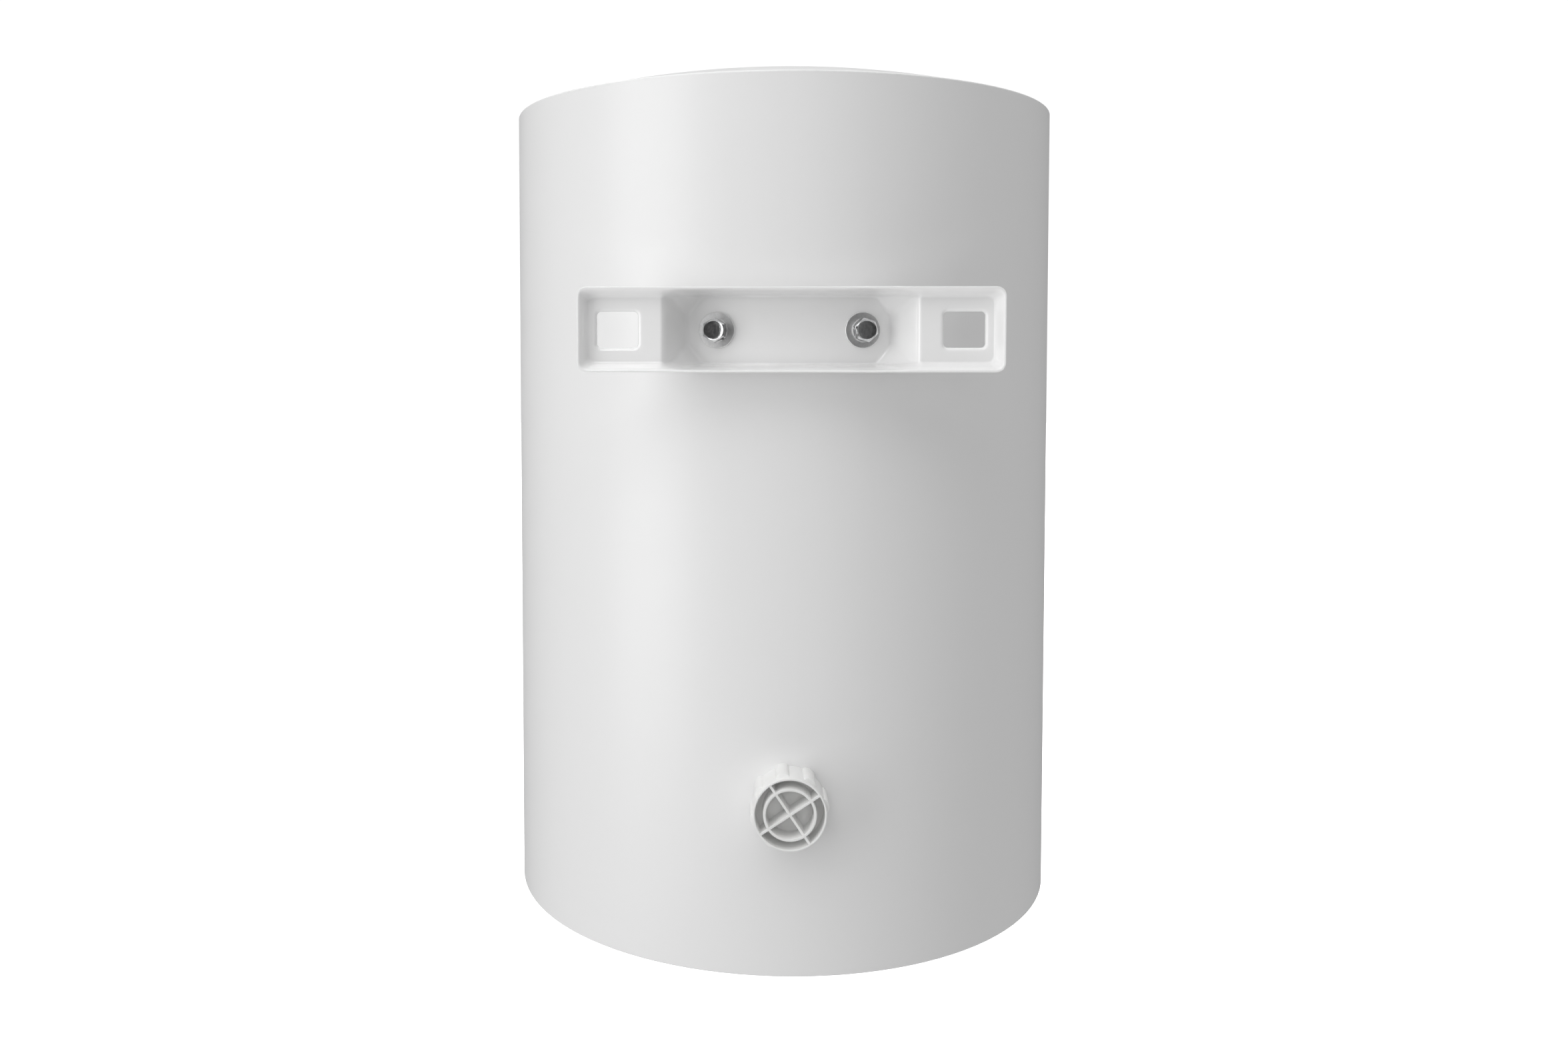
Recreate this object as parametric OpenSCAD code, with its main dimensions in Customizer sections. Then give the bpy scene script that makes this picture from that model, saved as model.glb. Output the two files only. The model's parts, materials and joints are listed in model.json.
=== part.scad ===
// Wall-hung cylindrical electric storage water heater, 50 litre class.
// The origin is midway between the two hook windows of the wall bracket, in the plane of the wall.
// +Z is up, the wall is at y = 0 on the +Y side, and the front of the heater faces -Y.

/* [Casing] */
// Outer diameter of the casing
body_d = 385; // [380:1:392]
// Height of the casing between its two rims
body_h = 552; // [540:1:570]
// Thickness of the casing and cap sheet
sheet_t = 1; // [0.8:0.1:1.2]
// Radius of the rolled edge at both ends of the casing
rim_r = 1.3; // [1.2:0.1:1.5]
// Rise of the domed top cap above the casing's rim
top_rise = 28; // [24:1:30]
// Depth of the dished bottom cap below the casing's rim
bottom_drop = 15; // [14:0.5:17]

/* [Wall mounting] */
// Gap between the casing and the wall
wall_gap = 25; // [24:1:28]
// Depth of the hook windows below the casing's top rim
window_drop = 155; // [130:5:180]
// Distance between the centres of the two hook windows
window_pitch = 204; // [198:1:206]
// Width of a hook window
window_w = 24; // [18:1:26]
// Height of a hook window
window_h = 21; // [14:1:24]
// Length of the wall bracket
bracket_w = 250; // [246:1:260]
// Height of the wall bracket
bracket_h = 50; // [46:1:60]
// Thickness of the bracket's sheet
bracket_t = 2; // [1.5:0.5:2.5]
// Angle between each bracket bolt and the middle of the bracket
bolt_angle = 13; // [11:0.5:14]
// Drop of the wall spacer below the hook windows
spacer_drop = 287; // [250:1:300]
// Outer diameter of the spacer's wall ring
spacer_d = 44; // [40:1:48]

/* [Tank] */
// Outer diameter of the tank
tank_d = 346; // [342:1:348]
// Wall thickness of the tank
tank_t = 2; // [1.5:0.5:2.5]
// Height of each tank dome
tank_dome = 40; // [36:1:42]
// Length of the heating element above the flange
element_h = 232; // [180:4:280]
// Length of the anode rod
anode_h = 220; // [150:5:300]

/* [Water connections] */
// Distance between the centres of the two water pipes
pipe_pitch = 100; // [100:5:110]
// Distance of the water pipes from the wall
pipe_to_wall = 125; // [122:1:128]
// Outer radius of a pipe end, as for a G1/2 thread
thread_r = 10.48; // [10.4:0.02:10.5]
// Outer radius of a pipe above its thread
pipe_r = 10.7; // [10.6:0.05:10.9]
// Length of the thread at a pipe's end
thread_h = 15; // [12:1:16]

/* [Service side] */
// Diameter of the service cover
cover_d = 176; // [172:1:180]
// Depth of the service cover
cover_h = 35; // [33:1:36]
// Diameter of the thermostat knob
knob_d = 38; // [30:1:40]
// Radius of the supply cord's hole in its gland
cord_hole_r = 4.2; // [3.6:0.1:4.6]

/* [Thermometer] */
// Height of the thermometer's centre above the casing's bottom rim
gauge_rise = 105; // [95:5:160]
// Diameter of the thermometer's bezel
gauge_d = 54; // [50:1:58]

/* [Hidden] */
$fn = 96;
ball_fn = 240;
eps = 0.01;
fit = 0.2;      // gap around pieces held in the foam
running = 0.05; // radial clearance of a shaft that turns

// levels and radii of the casing
body_r = body_d / 2;
body_in = body_r - sheet_t;
axis_y = -(body_r + wall_gap);
rim_top = window_drop;
rim_bottom = window_drop - body_h;
cap_r = body_r - rim_r - 1.5;
top_ball = cap_ball(cap_r, top_rise);
skirt_h = 12;
bolt_hole_r = 4.5;
peg_hole_r = 5;
cutter = 20;    // length of a cut through the casing
flat_z = rim_bottom - bottom_drop;
flat_r = 120;
service_r = 68;
// the ball of the bottom dish passes through the rim and through the edge of the flat middle
dish_up = ((cap_r * cap_r - flat_r * flat_r) / bottom_drop - bottom_drop) / 2;
dish_ball = norm([cap_r, dish_up]);

// tank
tank_r = tank_d / 2;
tank_top = rim_top;
tank_bottom = rim_bottom + 7;
tank_ball = cap_ball(tank_r, tank_dome);

// flange, seen in plan from the heater's axis
ring_r = 64;
neck_r = 46;
well_r = 70;    // clear space below the flange
ring_h = 14;
ring_z = tank_bottom - 5;
gasket_t = 3;
plate_t = 4;
plate_z = ring_z - gasket_t - plate_t;
plate_r = 62.5;
flange_bolt_count = 5;
flange_pcr = 54.5;
m8_r = 4;
m8_flats = 13;
m8_head = 5.3;
m8_hole_r = 4.3;
m8_washer_r = 11;
m8_washer_t = 1.6;
m8_spring_r = 7.2;
m8_spring_t = 2;
m8_shank = 18;
leg_x = 20;
leg_y = -20;
leg_r = 4.25;
pocket_at = [-14, 16];
pocket_r = 7;
pocket_h = 212;
rod_r = 5.4;
rod_h = 200;
anode_at = [16, 22];
anode_r = 11;
anode_gasket_t = 2;
anode_thread = 24;
spindle_at = [-28, 26];
spindle_r = 3;
spindle_flat = 2; // from the spindle's middle to its flat
reset_at = [-6, 33];
reset_r = 2.8;
thermostat_box = [50, 42, 22];
thermostat_at = [-20, 20];
thermostat_z = plate_z - 9;
earth_at = [0, -38];

// service cover, in plan
cover_at = [0, -15];
cover_r = cover_d / 2;
cover_t = 2;
cover_z = flat_z - cover_h;
cover_edge = 8;
knob_drop = 12;
knob_h = 11.4;
knob_edge = 1;
grip_w = 5;
grip_h = 2;
column_x = 74;
column_y = -20;
column_r = 6.5;
screw_well_r = 4.2;
screw_head_r = 3.7;
screw_r = 1.95;
block_at = [0, -84];
block_size = [36, 17, 14];
block_pitch = 10;
block_screw_x = 14;
core_d = 2.6;
lamp_core_d = 1.6;
lamp_at = [30, -52];
lamp_r = 4;
gland_at = [-42, -62];
gland_r = 7.4;
gland_h = 12;
pipe_v = -pipe_to_wall - axis_y;
pipe_x = pipe_pitch / 2;
pipe_end_z = flat_z - 19;
pipe_hole_r = 12;
water_way_r = 8;
dip_tube_r = 6.8;
collar_r = 15.5;
collar_h = 3;

// bracket
floor_r = body_r + bracket_t;
end_y = -8;
wall_lean = 4;
ramp_top_x = 75;
ramp_foot_x = 62;
deep_y = -36.5;
window_corner = 2.3;
bracket_corner = 6;
boss_r = 10;
backing_t = 2.5;
backing_half = 22;

// spacer
spacer_r = spacer_d / 2;
spacer_wall = 1.2;
rib_t = 1.6;
rib_turn = 34;
spacer_sink = 2;
ridge_count = 8;
ridge_r = 4.8;    // radius of a grip ridge, whose crest stands 1.9 outside the cup
ridge_at = 19.1;
ridge_h = 21;
web_z = 13.5;
web_t = 2;
inner_ring_r = 16;
inner_ring_t = 1.8;
peg_h = 11;

// thermometer
gauge_z = rim_bottom + gauge_rise;
gauge_r = gauge_d / 2;
gauge_hole_r = 22;
gauge_depth = 7.5;
pointer_z = 4.5;  // height of the pointer above the bottom of the gauge's cup
pivot_r = 1.5;
bulb_r = 3;
bulb_h = 28;
capillary_r = 1;
capillary_x = 12;

// ball radius of a cap with the rim radius a and the height h
function cap_ball(a, h) = (a * a + h * h) / (2 * h);

// a point on a smooth curve through p1 and p2, at the share t between them
function curve_at(p0, p1, p2, p3, t) =
    0.5 * (2 * p1 + (p2 - p0) * t + (2 * p0 - 5 * p1 + 4 * p2 - p3) * t * t
    + (3 * p1 - p0 - 3 * p2 + p3) * t * t * t);
function route(p, steps) = [
    for (i = [0 : len(p) - 2], s = [0 : steps - 1])
        curve_at(p[max(i - 1, 0)], p[i], p[i + 1], p[min(i + 2, len(p) - 1)], s / steps),
    p[len(p) - 1]
];
function unit(v) = v / norm(v);

module at_axis(z = 0) translate([0, axis_y, z]) children();

// plan position p, measured from the heater's axis, at the level z
module plan(p, z) translate([p.x, axis_y + p.y, z]) children();

// children stand on a radius of the casing: their +Z points outwards, and their -X is up
module radial(angle, r, z = 0)
    translate([0, axis_y, z]) rotate([0, 0, 90 - angle]) translate([r, 0, 0]) rotate([0, 90, 0])
        children();

module ring(r_out, r_in, h) difference() {
    cylinder(r = r_out, h = h);
    translate([0, 0, -1]) cylinder(r = r_in, h = h + 2);
}

module ball_shell(r, t) difference() {
    sphere(r = r, $fn = ball_fn);
    sphere(r = r - t, $fn = ball_fn);
}

module hex(flats, h) cylinder(r = flats / 2 / cos(30), h = h, $fn = 6);

module rounded_rect(w, h, r) {
    square([w - 2 * r, h], center = true);
    square([w, h - 2 * r], center = true);
    for (x = [-1, 1], y = [-1, 1]) translate([x * (w / 2 - r), y * (h / 2 - r)]) circle(r = r);
}

module at_flange_bolts(z) for (i = [0 : flange_bolt_count - 1])
    at_axis(z) rotate([0, 0, 90 + i * 360 / flange_bolt_count]) translate([flange_pcr, 0, 0])
        children();

module at_bracket_bolts(r) for (s = [-1, 1]) radial(s * bolt_angle, r) children();

// round wire along a list of points, with eight sides
module wire(points, d, steps = 6) {
    line = route(points, steps);
    n = len(line);
    sides = 8;
    ring_points = [
        for (i = [0 : n - 1])
            let (
                t = unit(line[min(i + 1, n - 1)] - line[max(i - 1, 0)]),
                side = unit(cross(t, abs(t.z) > 0.9 ? [1, 0.2, 0] : [0, 0, 1])),
                up = cross(t, side)
            )
            for (k = [0 : sides - 1])
                line[i] + d / 2 * (cos(k * 360 / sides) * side + sin(k * 360 / sides) * up)
    ];
    polyhedron(
        points = ring_points,
        faces = concat(
            [[for (k = [0 : sides - 1]) k]],
            [[for (k = [sides - 1 : -1 : 0]) (n - 1) * sides + k]],
            [for (i = [0 : n - 2], k = [0 : sides - 1])
                [i * sides + k, (i + 1) * sides + k, (i + 1) * sides + (k + 1) % sides]],
            [for (i = [0 : n - 2], k = [0 : sides - 1])
                [i * sides + k, (i + 1) * sides + (k + 1) % sides, i * sides + (k + 1) % sides]]
        ),
        convexity = 6
    );
}

// ---- casing ----

module outer_jacket() color("white") difference() {
    at_axis() {
        translate([0, 0, rim_bottom + rim_r]) ring(body_r, body_in, body_h - 2 * rim_r);
        for (z = [rim_bottom + rim_r, rim_top - rim_r])
            translate([0, 0, z]) rotate_extrude() translate([body_r - rim_r, 0]) circle(r = rim_r);
    }
    at_bracket_bolts(body_r - cutter / 2) cylinder(r = bolt_hole_r, h = cutter);
    radial(0, body_r - cutter / 2, -spacer_drop) cylinder(r = peg_hole_r, h = cutter);
    radial(180, body_r - cutter / 2, gauge_z) cylinder(r = gauge_hole_r, h = cutter);
}

// inside or outside of both caps and their skirts, as one solid; shrink is 0 outside
module cap_solid(z_low, z_high, shrink) at_axis() intersection() {
    translate([0, 0, z_low]) cylinder(r = cap_r - shrink, h = z_high - z_low);
    translate([0, 0, rim_top + top_rise - top_ball]) sphere(r = top_ball - shrink, $fn = ball_fn);
    translate([0, 0, rim_bottom + dish_up]) sphere(r = dish_ball - shrink, $fn = ball_fn);
}

module top_cap() color("white") difference() {
    cap_solid(rim_top - skirt_h, rim_top + top_rise + 1, 0);
    cap_solid(rim_top - skirt_h - 1, rim_top + top_rise, sheet_t);
}

module bottom_cap() color("white") difference() {
    cap_solid(flat_z, rim_bottom + skirt_h, 0);
    cap_solid(flat_z + sheet_t, rim_bottom + skirt_h + 1, sheet_t);
    at_axis(flat_z - 1) cylinder(r = service_r, h = 5);
    for (s = [-1, 1]) plan([s * pipe_x, pipe_v], flat_z - 1) cylinder(r = pipe_hole_r, h = 5);
    for (s = [-1, 1]) plan([s * column_x, column_y], flat_z - 1) cylinder(r = 2, h = 5);
    for (s = [-1, 1]) plan(block_at + [s * block_screw_x, 0], flat_z - 1) cylinder(r = 1.6, h = 5);
}

module tank_solid(grow = 0) at_axis() intersection() {
    translate([0, 0, tank_bottom - 10]) cylinder(r = tank_r + grow, h = tank_top - tank_bottom + 20);
    translate([0, 0, tank_top - tank_ball]) sphere(r = tank_ball + grow, $fn = ball_fn);
    translate([0, 0, tank_bottom + tank_ball]) sphere(r = tank_ball + grow, $fn = ball_fn);
}

module insulation_foam() color("khaki") difference() {
    union() {
        at_axis(rim_bottom + skirt_h + 1) cylinder(r = body_in - 0.1, h = body_h - 2 * skirt_h - 2);
        cap_solid(flat_z + sheet_t + 0.1, rim_top + top_rise, sheet_t + 0.1);
    }
    tank_solid(0.1);
    at_axis(flat_z - 1) cylinder(r = well_r, h = tank_bottom - flat_z + 12);
    for (s = [-1, 1]) plan([s * pipe_x, pipe_v], flat_z - 1) cylinder(r = pipe_r + fit, h = 60);
    for (s = [-1, 1]) plan([s * pipe_x, pipe_v], flat_z - 1) cylinder(r = pipe_hole_r + fit, h = 6);
    for (s = [-1, 1]) plan([s * column_x, column_y], flat_z) cylinder(r = 3, h = 12);
    backing_sector(tank_r - 1, tank_r + backing_t + fit, backing_half + 0.5, 31);
    at_bracket_bolts(tank_r - 2) cylinder(r = boss_r + fit, h = 40);
    radial(0, body_r - 12, -spacer_drop) cylinder(r = peg_hole_r + 0.5, h = cutter);
    radial(180, body_r - 14, gauge_z) cylinder(r = gauge_hole_r + fit, h = cutter);
    gauge_recess();
}

module gauge_recess() radial(180, tank_r - 1, gauge_z) translate([-24, -9, 0]) cube([48, 18, 17]);

// ---- tank ----

module tank_shell() color("dimgray") at_axis(tank_bottom + tank_dome)
    ring(tank_r, tank_r - tank_t, tank_top - tank_bottom - 2 * tank_dome);

// domed tank end with its rim at z = 0
module tank_end() intersection() {
    translate([0, 0, tank_dome - tank_ball]) ball_shell(tank_ball, tank_t);
    cylinder(r = tank_r, h = tank_dome + 1);
}

module tank_top_dome() color("dimgray") at_axis(tank_top - tank_dome) tank_end();

module tank_bottom_dome() color("dimgray") difference() {
    at_axis(tank_bottom + tank_dome) mirror([0, 0, 1]) tank_end();
    at_axis(tank_bottom - 5) cylinder(r = ring_r, h = 30);
    for (s = [-1, 1]) plan([s * pipe_x, pipe_v], tank_bottom - 5) cylinder(r = pipe_r, h = 40);
}

module backing_sector(r_in, r_out, half, half_h) at_axis(-half_h)
    rotate([0, 0, 90 - half]) rotate_extrude(angle = 2 * half)
        translate([r_in, 0]) square([r_out - r_in, 2 * half_h]);

module bracket_backing_plate() color("gray")
    backing_sector(tank_r, tank_r + backing_t, backing_half, 30);

module bracket_bosses() color("gray") difference() {
    at_bracket_bolts(tank_r) difference() {
        cylinder(r = boss_r, h = body_in - 0.4 - tank_r);
        translate([0, 0, backing_t + 2]) cylinder(r = m8_r, h = 40);
    }
    at_axis(-40) cylinder(r = tank_r + backing_t, h = 80);
}

// ---- wall bracket ----

// half of the bracket seen along Z, between the wall plane and its skin; t is 0 outside, sheet inside
module bracket_side(t) {
    lip = bracket_w / 2 - t * 1.07;
    polygon([
        [-lip, t], [-lip, 0], [-lip + wall_lean - t * 0.2, end_y - bracket_t + t],
        [-ramp_top_x + t * tan(30), end_y - bracket_t + t], [-ramp_foot_x + t * tan(30), deep_y + t],
        [ramp_foot_x - t * tan(30), deep_y + t], [ramp_top_x - t * tan(30), end_y - bracket_t + t],
        [lip - wall_lean + t * 0.2, end_y - bracket_t + t], [lip, 0], [lip, t]
    ]);
}

// the bracket's cross-section seen along X
module bracket_section(t) {
    lip = bracket_h / 2 - t * 1.07;
    knee = lip - wall_lean + t * 0.2;
    polygon([
        [-lip, t], [-lip, 0], [-knee, end_y - bracket_t + t], [-knee + 0.8, deep_y - 1 + t],
        [knee - 0.8, deep_y - 1 + t], [knee, end_y - bracket_t + t], [lip, 0], [lip, t]
    ]);
}

module bracket_body(t, corner) intersection() {
    translate([0, 0, -bracket_h]) linear_extrude(height = 2 * bracket_h) difference() {
        bracket_side(t);
        translate([0, axis_y]) circle(r = body_r + t);
    }
    rotate([0, -90, 0]) translate([0, 0, -bracket_w])
        linear_extrude(height = 2 * bracket_w) bracket_section(t);
    rotate([90, 0, 0]) translate([0, 0, -5]) linear_extrude(height = 60)
        rounded_rect(bracket_w - 2 * t, bracket_h - 2 * t, corner);
}

module wall_bracket() color("whitesmoke") difference() {
    intersection() {
        bracket_body(0, bracket_corner);
        translate([-200, -100, -100]) cube([400, 100, 200]);
    }
    bracket_body(bracket_t, bracket_corner - bracket_t);
    for (s = [-1, 1]) translate([s * window_pitch / 2, 0, 0]) rotate([90, 0, 0])
        linear_extrude(height = cutter) rounded_rect(window_w, window_h, window_corner);
    at_bracket_bolts(body_r - 5) cylinder(r = bolt_hole_r, h = cutter);
}

module bracket_flat_washers() color("silver") at_bracket_bolts(floor_r)
    ring(m8_washer_r, m8_r + fit, m8_washer_t);

module bracket_spring_washers() color("silver") at_bracket_bolts(floor_r + m8_washer_t) difference() {
    ring(m8_spring_r, m8_r + 0.1, m8_spring_t);
    rotate([0, 0, 60]) translate([0, -0.5, -1]) cube([10, 1, 4]);
}

module bracket_bolts() color("lightgray") at_bracket_bolts(floor_r + m8_washer_t + m8_spring_t) {
    intersection() {
        hex(m8_flats, m8_head);
        translate([0, 0, m8_head - 9]) sphere(r = 9.4);
    }
    translate([0, 0, -m8_shank]) cylinder(r = m8_r - running, h = m8_shank + eps);
}

// ---- wall spacer ----

// outside of the spacer: a round cup with grip ridges that end short of the wall
module spacer_outside() translate([0, 0, -spacer_sink]) {
    cylinder(r = spacer_r, h = wall_gap + spacer_sink);
    for (i = [0 : ridge_count - 1]) rotate([0, 0, (i + 0.5) * 360 / ridge_count])
        translate([ridge_at, 0, 0]) cylinder(r = ridge_r, h = ridge_h + spacer_sink);
}

// the spacer is open on both sides of its web, and a peg holds it in the casing
module wall_spacer() color("white") {
    difference() {
        radial(0, body_r, -spacer_drop) rotate([0, 0, rib_turn]) {
            difference() {
                spacer_outside();
                translate([0, 0, web_z + web_t]) cylinder(r = spacer_r - spacer_wall, h = wall_gap);
                translate([0, 0, -wall_gap]) cylinder(r = spacer_r - spacer_wall, h = wall_gap + web_z);
            }
            translate([0, 0, -spacer_sink])
                ring(inner_ring_r, inner_ring_r - inner_ring_t, wall_gap + spacer_sink);
            for (a = [0, 90]) rotate([0, 0, a]) translate([0.6 - spacer_r, -rib_t / 2, -spacer_sink])
                cube([2 * spacer_r - 1.2, rib_t, wall_gap + spacer_sink]);
        }
        at_axis(-spacer_drop - 50) cylinder(r = body_r, h = 100);
    }
    radial(0, body_r - peg_h, -spacer_drop) cylinder(r = peg_hole_r - 0.1, h = peg_h + web_z);
}

// ---- flange ----

module tank_flange_ring() color("gray") difference() {
    at_axis(ring_z) ring(ring_r, neck_r, ring_h);
    at_flange_bolts(ring_z - 1) cylinder(r = m8_r, h = 11);
}

module flange_gasket() color("dimgray") difference() {
    at_axis(ring_z - gasket_t) ring(plate_r, neck_r - 2, gasket_t);
    at_flange_bolts(ring_z - gasket_t - 1) cylinder(r = m8_hole_r, h = 11);
}

module flange_plate() color("silver") difference() {
    at_axis(plate_z) cylinder(r = plate_r, h = plate_t);
    at_flange_bolts(plate_z - 1) cylinder(r = m8_hole_r, h = 11);
    for (s = [-1, 1]) plan([s * leg_x, leg_y], plate_z - 1) cylinder(r = leg_r, h = 10);
    plan(pocket_at, plate_z - 1) cylinder(r = pocket_r, h = 10);
    plan(anode_at, plate_z - 1) cylinder(r = m8_r + 0.2, h = 10);
    plan(earth_at, plate_z - 1) cylinder(r = 1.9, h = 10);
}

module flange_washers() color("silver") at_flange_bolts(plate_z - m8_washer_t)
    ring(7.5, m8_r + fit, m8_washer_t);

module flange_bolts() color("silver") at_flange_bolts(plate_z - m8_washer_t) {
    translate([0, 0, -m8_head]) hex(m8_flats, m8_head);
    translate([0, 0, -eps]) cylinder(r = m8_r - running, h = 17);
}

module heating_element() color("tan") at_axis() {
    for (s = [-1, 1]) translate([s * leg_x, leg_y, plate_z - 6]) cylinder(r = leg_r, h = element_h + 6);
    translate([0, leg_y, plate_z + element_h]) rotate([90, 0, 0])
        rotate_extrude(angle = 180) translate([leg_x, 0]) circle(r = leg_r);
}

module element_beads() color("ivory") for (s = [-1, 1])
    plan([s * leg_x, leg_y], plate_z - 10) ring(5.6, 1.6, 4);

module element_terminals() color("silver") for (s = [-1, 1]) {
    plan([s * leg_x, leg_y], plate_z - 14) cylinder(r = 1.6, h = 8);
    plan([s * leg_x, leg_y], plate_z - 20) translate([-3.15, -0.4, -1]) cube([6.3, 0.8, 8]);
}

module thermostat_pocket() color("silver") plan(pocket_at, plate_z) difference() {
    cylinder(r = pocket_r, h = pocket_h);
    translate([0, 0, -1]) cylinder(r = pocket_r - 1, h = pocket_h - 1);
}

module thermostat_rod() color("goldenrod") plan(pocket_at, plate_z - 3)
    cylinder(r = rod_r, h = rod_h);

module thermostat_body() color("ivory") difference() {
    union() {
        plan(thermostat_at, thermostat_z - thermostat_box.z) linear_extrude(height = thermostat_box.z)
            rounded_rect(thermostat_box.x, thermostat_box.y, 5);
        plan(pocket_at, thermostat_z - eps) cylinder(r = 9, h = 6);
        plan(spindle_at, thermostat_z - thermostat_box.z - 3) cylinder(r = 6, h = 3 + eps);
        plan(reset_at, thermostat_z - thermostat_box.z - 2) cylinder(r = 5, h = 2 + eps);
    }
    plan(spindle_at, thermostat_z - thermostat_box.z - 4) cylinder(r = spindle_r + running, h = 16);
    plan(reset_at, thermostat_z - thermostat_box.z - 3) cylinder(r = reset_r + running, h = 12);
}

// spindle with a flat for the knob
module thermostat_spindle() color("silver") plan(spindle_at, cover_z - 10) difference() {
    cylinder(r = spindle_r, h = thermostat_z - thermostat_box.z + 11 - cover_z + 10);
    translate([spindle_flat, -5, -1]) cube([5, 10, 10]);
}

module thermostat_knob() color("white") plan(spindle_at, cover_z - knob_drop) difference() {
    union() {
        cylinder(r = knob_d / 2 - knob_edge, h = knob_edge + eps);
        translate([0, 0, knob_edge]) cylinder(r = knob_d / 2, h = knob_h - knob_edge);
        translate([-grip_w / 2, knob_edge - knob_d / 2, -grip_h])
            cube([grip_w, knob_d - 2 * knob_edge, grip_h + 1]);
    }
    difference() {
        translate([0, 0, 2]) cylinder(r = spindle_r, h = 12);
        translate([spindle_flat, -5, 1]) cube([5, 10, 9]);
    }
}

module reset_button() color("firebrick") plan(reset_at, thermostat_z - thermostat_box.z - 5)
    cylinder(r = reset_r, h = 8);

module anode_rod() color("darkgray") plan(anode_at, plate_z + plate_t + anode_gasket_t)
    difference() {
    cylinder(r = anode_r, h = anode_h);
    translate([0, 0, -1]) cylinder(r = m8_r - running, h = anode_thread + 2);
}

module anode_stud() color("silver") plan(anode_at, plate_z - 10)
    cylinder(r = m8_r - 2 * running, h = 10 + plate_t + anode_gasket_t + anode_thread);

module anode_gasket() color("dimgray") plan(anode_at, plate_z + plate_t)
    ring(8, m8_r, anode_gasket_t);

module anode_nut() color("silver") plan(anode_at, plate_z - 6.5) difference() {
    hex(m8_flats, 6.5);
    translate([0, 0, -1]) cylinder(r = m8_r, h = 9);
}

module earth_screw() color("goldenrod") plan(earth_at, plate_z) {
    translate([0, 0, -7]) cylinder(r = 3.8, h = 3);
    translate([0, 0, -4 - eps]) cylinder(r = 1.85, h = 10);
    translate([0, 0, plate_t - 8]) ring(4, 1.85 + eps, 0.8);
}

// ---- water pipes ----

module pipe_stub(bore, h) {
    ring(thread_r, bore, thread_h + eps);
    translate([0, 0, thread_h]) ring(pipe_r, bore, h - thread_h);
}

module cold_inlet_pipe() color("silver") plan([pipe_x, pipe_v], pipe_end_z)
    pipe_stub(water_way_r, tank_bottom - pipe_end_z + 35);

module inlet_diffuser() color("lightsteelblue")
    plan([pipe_x, pipe_v], tank_bottom + 27) difference() {
        cylinder(r = 13, h = 22);
        translate([0, 0, -1]) cylinder(r = pipe_r, h = 9);
        translate([0, 0, 7]) cylinder(r = 10, h = 12);
        for (a = [0, 60, 120]) rotate([0, 0, a]) translate([-15, -3, 10]) cube([30, 6, 6]);
    }

module hot_outlet_pipe() color("silver") plan([-pipe_x, pipe_v], pipe_end_z) {
    pipe_stub(dip_tube_r, tank_bottom - pipe_end_z + 25);
    ring(water_way_r, dip_tube_r, tank_top - pipe_end_z - 32);
}

// plastic collar that seals a pipe in the bottom cap
module pipe_collar() {
    translate([0, 0, -collar_h]) ring(collar_r, pipe_r + 0.02, collar_h);
    translate([0, 0, -eps]) ring(pipe_hole_r - 0.1, pipe_r + 0.02, 4);
}

module cold_collar() color("royalblue") plan([pipe_x, pipe_v], flat_z) pipe_collar();

module hot_collar() color("crimson") plan([-pipe_x, pipe_v], flat_z) pipe_collar();

// ---- service side ----

module terminal_block() color("ivory") plan(block_at, flat_z - block_size.z) difference() {
    translate([-block_size.x / 2, -block_size.y / 2, 0]) cube(block_size);
    for (i = [-1 : 1]) translate([i * block_pitch, 0, -1]) cylinder(r = 2.5, h = 8);
    for (i = [-1 : 1]) translate([i * block_pitch, 0, 5]) rotate([90, 0, 0])
        cylinder(r = 1.7, h = 40, center = true);
}

module terminal_screws() color("goldenrod") for (i = [-1 : 1])
    plan(block_at + [i * block_pitch, 0], flat_z - block_size.z + 0.5) cylinder(r = 2.45, h = 2.5);

function contact(p, z) = [p.x, axis_y + p.y, z];
block_z = flat_z - block_size.z + 5;
blade_z = plate_z - 19;
body_z = thermostat_z - thermostat_box.z / 2;

module live_wires() color("saddlebrown") {
    wire([
        contact([-10, -77], block_z), contact([-10, -68], block_z), contact([-16, -56], block_z - 4),
        contact([-34, -44], block_z - 6), contact([-40, -22], body_z - 2), contact([-39, -8], body_z),
        contact([-38, -1.2], body_z)
    ], core_d);
    wire([
        contact([-13, -1.2], body_z), contact([-13, -8], body_z), contact([-15, -12], body_z - 3),
        contact([-leg_x, -15], blade_z - 4), contact([-leg_x, leg_y + 1.8], blade_z + 2)
    ], core_d);
}

module neutral_wires() color("steelblue") {
    wire([
        contact([0, -77], block_z), contact([0, -70], block_z), contact([6, -62], block_z - 5),
        contact([10, -48], block_z - 7), contact([4, -24], body_z - 8), contact([-3, -8], body_z),
        contact([-4, -1.2], body_z)
    ], core_d);
    wire([
        contact([5.2, 8], body_z), contact([11, 8], body_z), contact([18, 4], body_z),
        contact([22, -6], body_z + 2), contact([leg_x, -14], blade_z - 3),
        contact([leg_x, leg_y + 1.8], blade_z + 2)
    ], core_d);
}

module earth_wire() color("yellowgreen") wire([
    contact([10, -77], block_z), contact([10, -70], block_z), contact([17, -62], block_z + 1),
    contact([15, -48], plate_z - 8), contact([8, -39], plate_z - 6),
    contact([5.5, earth_at.y], plate_z - 5.4)
], core_d);

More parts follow.
